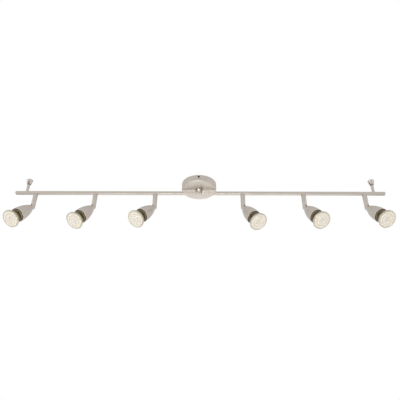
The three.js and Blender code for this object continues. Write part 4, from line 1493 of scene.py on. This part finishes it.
@dataclass(frozen=True)
class HeadShell:
    """The bullet-shaped shell of a head with its tongue, and the lampholder inside it."""

    nose_start: float = 7 * MM
    nose_radius: float = 7 * MM
    rim_station: float = 65 * MM
    widest_station: float = 62 * MM
    widest_radius: float = 19.8 * MM
    wall: float = 1.2 * MM
    tongue: float = 4 * MM
    eye: float = 4.2 * MM
    holder_radius: float = 12.2 * MM
    holder_front: float = 45.7 * MM
    holder_back: float = 31.7 * MM
    plate: float = 2.2 * MM
    pin_circle: float = 5 * MM
    pin_way: float = 1.85 * MM
    pin_head_way: float = 2.75 * MM
    twist: float = 20
    way_steps: int = 6
    clearance: float = 0.3 * MM
    nose_round: float = 1.6 * MM
    lip_round: float = 0.6 * MM
    outer_margin: float = 0.8 * MM
    inner_margin: float = 1.5 * MM
    ledge_station: float = 38 * MM
    cavity_start: float = 12.6 * MM

    def build(self) -> None:
        """Builds one shell and one lampholder, and dresses a copy of each for every head."""
        shell = Pattern(self.shell(), NICKEL, "bullet_shell", "head_shell", "satin_nickel")
        holder = Pattern(self.holder(), CERAMIC, "twist_socket", "lampholder", "white_ceramic")
        dress_heads("head", head_place, shell, holder)

    def radius_at(self, station: float) -> float:
        """Outer radius of the shell at a distance from the knuckle pin."""
        run = self.widest_station - self.nose_start
        rise = self.widest_radius - self.nose_radius
        curve = (run**2 + rise**2) / (2 * rise)
        return self.widest_radius - curve + math.sqrt(curve**2 - (self.widest_station - station) ** 2)

    def shell(self) -> bpy.types.Object:
        """The shell: a spun skin with a rolled rim, a ledge for the lampholder and a tongue."""
        first = self.nose_start + self.nose_round
        outline = [(0, -self.nose_start)]
        outline += arc((self.nose_radius - self.nose_round, -first), self.nose_round, 90, 15, 5)
        steps, last = 40, self.rim_station - self.outer_margin
        for step in range(1, steps + 1):
            station = first + (last - first) * step / steps
            outline.append((self.radius_at(station), -station))
        lip = (self.radius_at(self.rim_station) - self.lip_round, self.lip_round - self.rim_station)
        outline += arc(lip, self.lip_round, 0, -180, 8)
        steps, start = 12, self.rim_station - self.inner_margin
        for step in range(steps + 1):
            station = start - (start - self.ledge_station) * step / steps
            outline.append((self.radius_at(station) - self.wall, -station))
        seat, ledge = self.holder_back - self.clearance, self.holder_radius + self.clearance
        outline += [(ledge, -self.ledge_station), (ledge, -seat), (self.holder_radius - 2 * MM, -seat)]
        outline += [(self.nose_radius / 2, -self.cavity_start), (0, -self.cavity_start)]
        skin = Bench.turned("pattern_shell", outline, 96)
        half = self.tongue / 2
        eye = Bench.pin("eye", self.eye, (-half, 0, 0), (half, 0, 0), 48)
        side, depth = self.eye - 0.05 * MM, self.nose_start + self.nose_radius / 2
        web = Bench.block("web", (-half, -side, -depth), (half, side, 0))
        Bench.combine(skin, [eye, web], "UNION")
        Bench.cut(skin, Bench.pin("pin_way", self.pin_way, (-half - MM, 0, 0), (half + MM, 0, 0)))
        Bench.bevelled(skin, 0.15 * MM, 2, 60)
        return Bench.brushed(skin, Lay.ROUND)

    def holder(self) -> bpy.types.Object:
        """The ceramic lampholder, with a round hole and a curved slot for each lamp pin."""
        front, back = -self.holder_front, -self.holder_back
        outline = [(0, front), (self.holder_radius, front), (self.holder_radius, back), (0, back)]
        block = Bench.turned("pattern_holder", eased(outline, 0.8 * MM), 64)
        tools = []
        last = self.way_steps - 1
        for side in (0, math.pi):
            for step in range(self.way_steps):
                angle = side - math.radians(self.twist) * (last - step) / last
                x, y = self.pin_circle * math.cos(angle), self.pin_circle * math.sin(angle)
                neck = self.pin_head_way if step == 0 else self.pin_way
                ends = (x, y, front - MM), (x, y, front + self.plate + MM)
                tools.append(Bench.pin("neck_way", neck, *ends, 24))
                ends = (x, y, front + self.plate), (x, y, back - 3 * MM)
                tools.append(Bench.pin("head_way", self.pin_head_way, *ends, 24))
        Bench.cut(block, *tools)
        Bench.bevelled(block, 0.15 * MM, 1, 60)
        Bench.smooth(block)
        return block


@dataclass(frozen=True)
class ReflectorLamp:
    """A twist-lock reflector lamp: base, coated bowl, faceted mirror, front glass and capsule."""

    face: float = 92 * MM
    base_station: float = 46 * MM
    base_height: float = 9 * MM
    base_radius: float = 10.5 * MM
    radius: float = 24.8 * MM
    rim_depth: float = 4 * MM
    shoulder: float = 2.5 * MM
    glass: float = 1.6 * MM
    lens: float = 1.5 * MM
    shell_rim: float = 65 * MM
    throat: float = 17.9 * MM
    band_flare: float = 1.5 * MM
    fullness: float = 0.6
    pin_circle: float = 5 * MM
    pin_radius: float = 1.5 * MM
    pin_head: float = 2.4 * MM
    pin_length: float = 7 * MM
    pin_head_length: float = 3 * MM
    foot_band: float = 3 * MM
    foot_step: float = 0.6 * MM
    foot_taper: float = 1 * MM
    band_rings: tuple[float, float] = (0.3, 0.62)
    band_groove: float = 0.45 * MM
    facets_round: int = 36
    facet_rows: int = 9
    facet_inset: float = 0.12 * MM
    facet_rise: float = 0.06 * MM
    mirror_start: float = 5.5 * MM
    mirror_wall: float = 0.12 * MM
    mirror_flare: float = 6.5 * MM
    flare_station: float = 84 * MM
    flare_run: float = 6 * MM
    gap: float = 0.3 * MM
    rings: tuple[float, float] = (0.44, 0.74)
    ring_half: float = 1.3 * MM
    capsule_radius: float = 4.4 * MM
    capsule_neck: float = 3 * MM
    capsule_length: float = 17 * MM
    coil_radius: float = 1.7 * MM
    coil_wire: float = 0.3 * MM
    coil_turns: int = 6
    coil_length: float = 6.6 * MM
    # Stations of the two bands where the bowl is painted lighter as highlights.
    brightened: tuple[tuple[float, float], ...] = ((60 * MM, 69.5 * MM), (79 * MM, 86 * MM))

    def build(self) -> None:
        """Builds each piece of the lamp once, and dresses a copy of each for every head."""
        dress_heads(
            "lamp",
            head_place,
            Pattern(self.base(), CERAMIC, "lamp_foot", "lamp_base", "white_ceramic"),
            Pattern(self.bowl(), COAT, "lamp_bowl", "lamp_reflector", "dichroic_glass"),
            Pattern(self.mirror(), MIRROR, "lamp_mirror", "", "dichroic_glass"),
            Pattern(self.front_glass(), LENS, "lamp_front_glass", "lamp_lens", "lens_glass"),
            Pattern(self.capsule(), QUARTZ, "lamp_capsule", "", "lens_glass"),
            Pattern(self.filament(), FILAMENT, "lamp_filament", "", "lens_glass"),
        )

    def bowl_start(self) -> float:
        """Distance from the knuckle pin to the back of the bowl."""
        return self.base_station + self.base_height + self.gap

    def bowl_side(self, inset: float, steps: int) -> Outline:
        """The side of the bowl from its back to its rim.

        Args:
            inset: How far the side is drawn in, for the inner wall.
            steps: Number of steps of its curved part.

        Returns:
            The points of the side, without the one on the axis.
        """
        start, rim = self.bowl_start(), self.face - self.rim_depth
        side: Outline = []
        for step in range(steps + 1):
            fraction = step / steps
            station = start + inset + fraction * (self.shell_rim - start)
            radius = self.base_radius + (self.throat - self.base_radius) * fraction**self.fullness
            side.append((radius - inset, -station))
        side.append((self.throat + self.band_flare - inset, self.shoulder - rim - inset / 2))
        side.append((self.radius - inset, -rim - inset / 2))
        return side

    def base(self) -> bpy.types.Object:
        """The ceramic foot with a waist, and its two headed pins."""
        bottom = -self.base_station
        top = bottom - self.base_height
        outline = [
            (0, top), (self.base_radius, top), (self.base_radius, top + self.foot_band),
            (self.base_radius - self.foot_step, top + self.foot_band + self.foot_step),
            (self.base_radius - self.foot_taper, bottom), (0, bottom),
        ]
        foot = Bench.turned("pattern_foot", eased(outline, 0.4 * MM), 64)
        end = bottom + self.pin_length
        head = end - self.pin_head_length
        outline = [
            (0, bottom - MM), (self.pin_radius, bottom - MM), (self.pin_radius, head),
            (self.pin_head, head), (self.pin_head, end), (0, end),
        ]
        pins = []
        for side in (-1, 1):
            pin = Bench.turned("lamp_pin", eased(outline, 0.3 * MM), 32)
            Bench.place(pin, Matrix.Translation((side * self.pin_circle, 0, 0)))
            pins.append(pin)
        Bench.combine(foot, pins, "UNION")
        Bench.smooth(foot)
        CERAMIC.give(foot)
        Bench.mark_grain(foot, Lay.ROUND)
        paint_faces(foot, BRASS, lambda c, n: c.z > bottom + 0.1 * MM)
        return foot

    def bowl(self) -> bpy.types.Object:
        """The coated bowl, with rings round its band, two bands painted lighter as highlights and a thicker
        clear rim.
        """
        rim, front = self.face - self.rim_depth, self.face - self.lens - 0.3 * MM
        side = self.bowl_side(0, 24)
        (near_radius, near), (far_radius, far) = side[-3], side[-2]
        band = []
        groove = (-0.05, 0), (-0.03, self.band_groove), (0.03, self.band_groove), (0.05, 0)
        for ring in self.band_rings:
            for offset, depth in groove:
                along = ring + offset
                radius = near_radius + (far_radius - near_radius) * along - depth
                band.append((radius, near + (far - near) * along))
        flare = eased([side[-3], side[-2], side[-1], (self.radius, -front)], 1.2 * MM)[1:-1]
        inner = list(reversed(self.bowl_side(self.glass, 12)))
        outline = [(0, side[0][1]), *side[:-2], *band, *flare, (self.radius, -front)]
        outline += [(self.radius - self.glass, -front), *inner, (0, inner[-1][1])]
        bowl = Bench.turned("pattern_bowl", outline, 96)
        Bench.smooth(bowl, 40)
        COAT.give(bowl)
        # Painted highlights: two lighter bands round the bowl.
        paint_faces(bowl, HIGHLIGHT_COAT, lambda c, n: self.in_highlight_band(-c.z))
        edge = self.throat + self.band_flare + 0.6 * MM
        paint_faces(bowl, RIM, lambda c, n: -c.z > rim - self.shoulder and math.hypot(c.x, c.y) > edge)
        return bowl

    def in_highlight_band(self, station: float) -> bool:
        """Whether a distance from the knuckle pin lies in a band where the coat is painted lighter as a
        highlight.
        """
        return any(low < station < high for low, high in self.brightened)

    def mirror(self) -> bpy.types.Object:
        """The mirror inside the bowl: rows of small facets, each raised a little in its middle."""
        start = self.bowl_start() + self.glass + self.gap
        depth = self.face - self.lens - 2 * self.gap - start
        limit = self.throat - self.glass - self.gap
        outline = []
        for row in range(self.facet_rows + 1):
            fraction = row / self.facet_rows
            station = start + depth * fraction
            swell = (self.radius - 2.4 * MM - self.mirror_start) * fraction**0.62
            flare = self.mirror_flare * max(0.0, (station - self.flare_station) / self.flare_run)
            outline.append((min(self.mirror_start + swell, limit + flare), -station))
        thin = [(radius - self.mirror_wall, height) for radius, height in reversed(outline)]
        mirror = Bench.turned("pattern_mirror", outline + thin, self.facets_round, closed=True)
        Bench.select_faces(mirror, lambda c, n: n.x * c.x + n.y * c.y < 0 and abs(n.z) < 0.95)
        bpy.ops.mesh.inset(thickness=self.facet_inset, use_individual=True)
        bpy.ops.transform.shrink_fatten(value=self.facet_rise)
        Bench.clear()
        Bench.take(mirror)
        bpy.ops.object.shade_flat()
        return mirror

    def front_glass(self) -> bpy.types.Object:
        """The front glass, with two moulded rings and a bevelled edge; its centre and its rings are painted
        brighter as highlights.
        """
        back, front = -self.face + self.lens, -self.face
        hollow, crest = front + 0.25 * MM, front + 0.02 * MM
        outline = [(0, front + 0.1 * MM)]
        for ring in self.rings:
            middle, foot, top = self.radius * ring, 1.6 * MM, 0.8 * MM
            outline += [(middle - foot, hollow), (middle - top, crest)]
            outline += [(middle + top, crest), (middle + foot, hollow)]
        outline += eased(
            [(self.radius - 3 * MM, front + 0.2 * MM), (self.radius - 0.9 * MM, front + 0.05 * MM),
             (self.radius, front + 0.95 * MM), (self.radius, back), (self.radius - MM, back)],
            0.35 * MM,
        )
        outline.append((0, back))
        lens = Bench.turned("pattern_lens", outline, 96)
        Bench.smooth(lens, 40)
        LENS.give(lens)
        # Painted highlights: the rings and the centre get brighter glass colours that stand for light
        # caught on them.
        edge, centre = self.radius - 3.2 * MM, self.radius * self.rings[0] - 1.6 * MM
        paint_faces(lens, RIM, lambda c, n: math.hypot(c.x, c.y) > edge)
        paint_faces(lens, RING_HIGHLIGHT, lambda c, n: self.on_ring(math.hypot(c.x, c.y)))
        paint_faces(lens, CENTRE_HIGHLIGHT, lambda c, n: math.hypot(c.x, c.y) < centre)
        return lens

    def on_ring(self, distance: float) -> bool:
        """Whether a distance from the middle of the front glass lies on a moulded ring, where a highlight
        is painted.
        """
        return any(abs(distance - self.radius * ring) < self.ring_half for ring in self.rings)

    def capsule(self) -> bpy.types.Object:
        """The small quartz capsule in the middle of the bowl."""
        foot = -self.bowl_start() - self.glass - 0.2 * MM
        tip = foot - self.capsule_length
        neck, radius, end = self.capsule_neck, self.capsule_radius, tip + 3.4 * MM
        outline = [(0, foot), (neck, foot), (neck, foot - 3 * MM), (radius, foot - 5 * MM)]
        outline += [(radius, end), *arc((0, end), radius, -10, -75, 6), (0, tip - 1 * MM)]
        capsule = Bench.turned("pattern_capsule", outline, 40)
        Bench.smooth(capsule, 50)
        return capsule

    def filament(self) -> bpy.types.Object:
        """The coiled filament inside the capsule."""
        Bench.clear()
        bpy.ops.mesh.primitive_circle_add(
            vertices=8,
            radius=self.coil_wire,
            fill_type="NGON",
            location=(self.coil_radius, 0, 0),
            rotation=(math.pi / 2, 0, 0),
        )
        bpy.ops.object.transform_apply(location=True, rotation=True, scale=True)
        coil = bpy.context.object
        coil.name = "pattern_filament"
        turn, steps = 2 * math.pi * self.coil_turns, 16 * self.coil_turns
        Bench.apply(
            coil,
            "SCREW",
            angle=turn,
            screw_offset=self.coil_length,
            steps=steps,
            render_steps=steps,
            axis="Z",
        )
        Bench.tidy(coil)
        Bench.place(coil, Matrix.Translation((0, 0, -self.bowl_start() - 16 * MM)))
        Bench.smooth(coil, 60)
        return coil


def paint_faces(obj: bpy.types.Object, finish: Finish, test: FaceTest) -> None:
    """Gives the faces that pass a test a second finish.

    Args:
        obj: The piece, in its own frame.
        finish: The second finish.
        test: Called with each face's centre and normal, returns whether to paint it.
    """
    obj.data.materials.append(finish.material())
    index = len(obj.data.materials) - 1
    for face in obj.data.polygons:
        if test(face.center, face.normal):
            face.material_index = index


# ---------------------------------------------------------------------------------------------
# Studio
# ---------------------------------------------------------------------------------------------


@dataclass(frozen=True)
class Studio:
    """A plain pale room with large soft lights, seen from below the bar."""

    floor_height: float = -2.5
    floor_size: float = 14.0
    floor_colour: Colour = (0.82, 0.81, 0.8)
    lamp_colour: Colour = (1.0, 0.985, 0.965)
    room_colour: Colour = (0.66, 0.64, 0.62)
    backdrop: Colour = (1, 1, 1)
    lens: float = 38.29
    place: tuple[float, float, float] = (0.0259, -1.0364, -0.6930)
    heading: float = -1.25
    pitch: float = 31.71
    roll: float = 0.81
    sensor: float = 36  # width in millimetres, as the lens
    nearest: float = 0.01

    def build(self) -> None:
        """Sets up the floor, the lights, the room's own light and the camera."""
        self.floor()
        self.light("front_under_light", (-0.2, -1.2, -2.1), (0, 0, 0), 0.9, 22)
        self.light("back_under_light", (0.0, 2.8, -1.8), (0, 0, 0), 3.2, 15)
        self.light("left_light", (-3.0, -1.6, 0.2), (0, 0, -0.05), 1.8, 9)
        self.light("right_light", (3.0, -1.2, 0.4), (0, 0, -0.05), 1.6, 4)
        self.room()
        self.camera()
        bpy.context.scene.view_settings.view_transform = "Standard"

    def floor(self) -> None:
        """The pale floor, far below the bar."""
        Bench.clear()
        bpy.ops.mesh.primitive_plane_add(size=self.floor_size, location=(0, 0, self.floor_height))
        floor = bpy.context.object
        floor.name = "studio_floor"
        material = bpy.data.materials.new("studio_floor")
        material.use_nodes = True
        wiring = Wiring(material.node_tree)
        surface = wiring.add("BsdfPrincipled", {"Base Color": (*self.floor_colour, 1), "Roughness": 0.9})
        wiring.add("OutputMaterial", {"Surface": surface.outputs[0]})
        floor.data.materials.append(material)

    def light(self, name: str, place: tuple, target: tuple, size: float, power: float) -> None:
        """A square soft light.

        Args:
            name: Name of the light.
            place: Where it stands.
            target: What it points at.
            size: Length of its sides.
            power: Power in watts.
        """
        Bench.clear()
        aim = (Vector(target) - Vector(place)).to_track_quat("-Z", "Y").to_euler()
        bpy.ops.object.light_add(type="AREA", location=place, rotation=aim)
        lamp = bpy.context.object
        lamp.name = name
        lamp.data.size = size
        lamp.data.energy = power
        lamp.data.color = self.lamp_colour
        lamp.visible_camera = False

    def room(self) -> None:
        """The room's even light: white to look at, and a little dimmer as a source."""
        world = bpy.data.worlds.new("studio_room")
        bpy.context.scene.world = world
        world.use_nodes = True
        wiring = Wiring(world.node_tree)
        seen = wiring.add("LightPath").outputs["Is Camera Ray"]
        colour = wiring.blend(seen, self.room_colour, self.backdrop)
        background = wiring.add("Background", {"Color": colour, "Strength": 1.0})
        wiring.add("OutputWorld", {"Surface": background.outputs[0]})

    def camera(self) -> None:
        """The camera, below the bar and looking up at it."""
        heading, pitch, roll = (math.radians(a) for a in (self.heading, self.pitch, self.roll))
        level = math.cos(pitch)
        forward = Vector((math.sin(heading) * level, math.cos(heading) * level, math.sin(pitch)))
        right = Vector((math.cos(heading), -math.sin(heading), 0))
        up = right.cross(forward)
        side = right * math.cos(roll) + up * math.sin(roll)
        top = up * math.cos(roll) - right * math.sin(roll)
        turn = Matrix((side, top, -forward)).transposed().to_4x4()
        Bench.clear()
        bpy.ops.object.camera_add()
        camera = bpy.context.object
        camera.matrix_world = Matrix.Translation(self.place) @ turn
        camera.data.lens = self.lens
        camera.data.sensor_width = self.sensor
        camera.data.clip_start = self.nearest
        bpy.context.scene.camera = camera


def main() -> None:
    """Builds every sub-assembly in order, then the studio."""
    logging.basicConfig(level=logging.INFO, format="%(name)s: %(message)s")
    fixed = (CeilingPlate(), TerminalBlock(), CarrierBar(), EndSupports())
    heads = (Stem(), HeadShell(), ReflectorLamp())
    for part in (*fixed, *heads, Studio()):
        log.info("building %s", type(part).__name__)
        part.build()


if __name__ == "__main__":
    main()
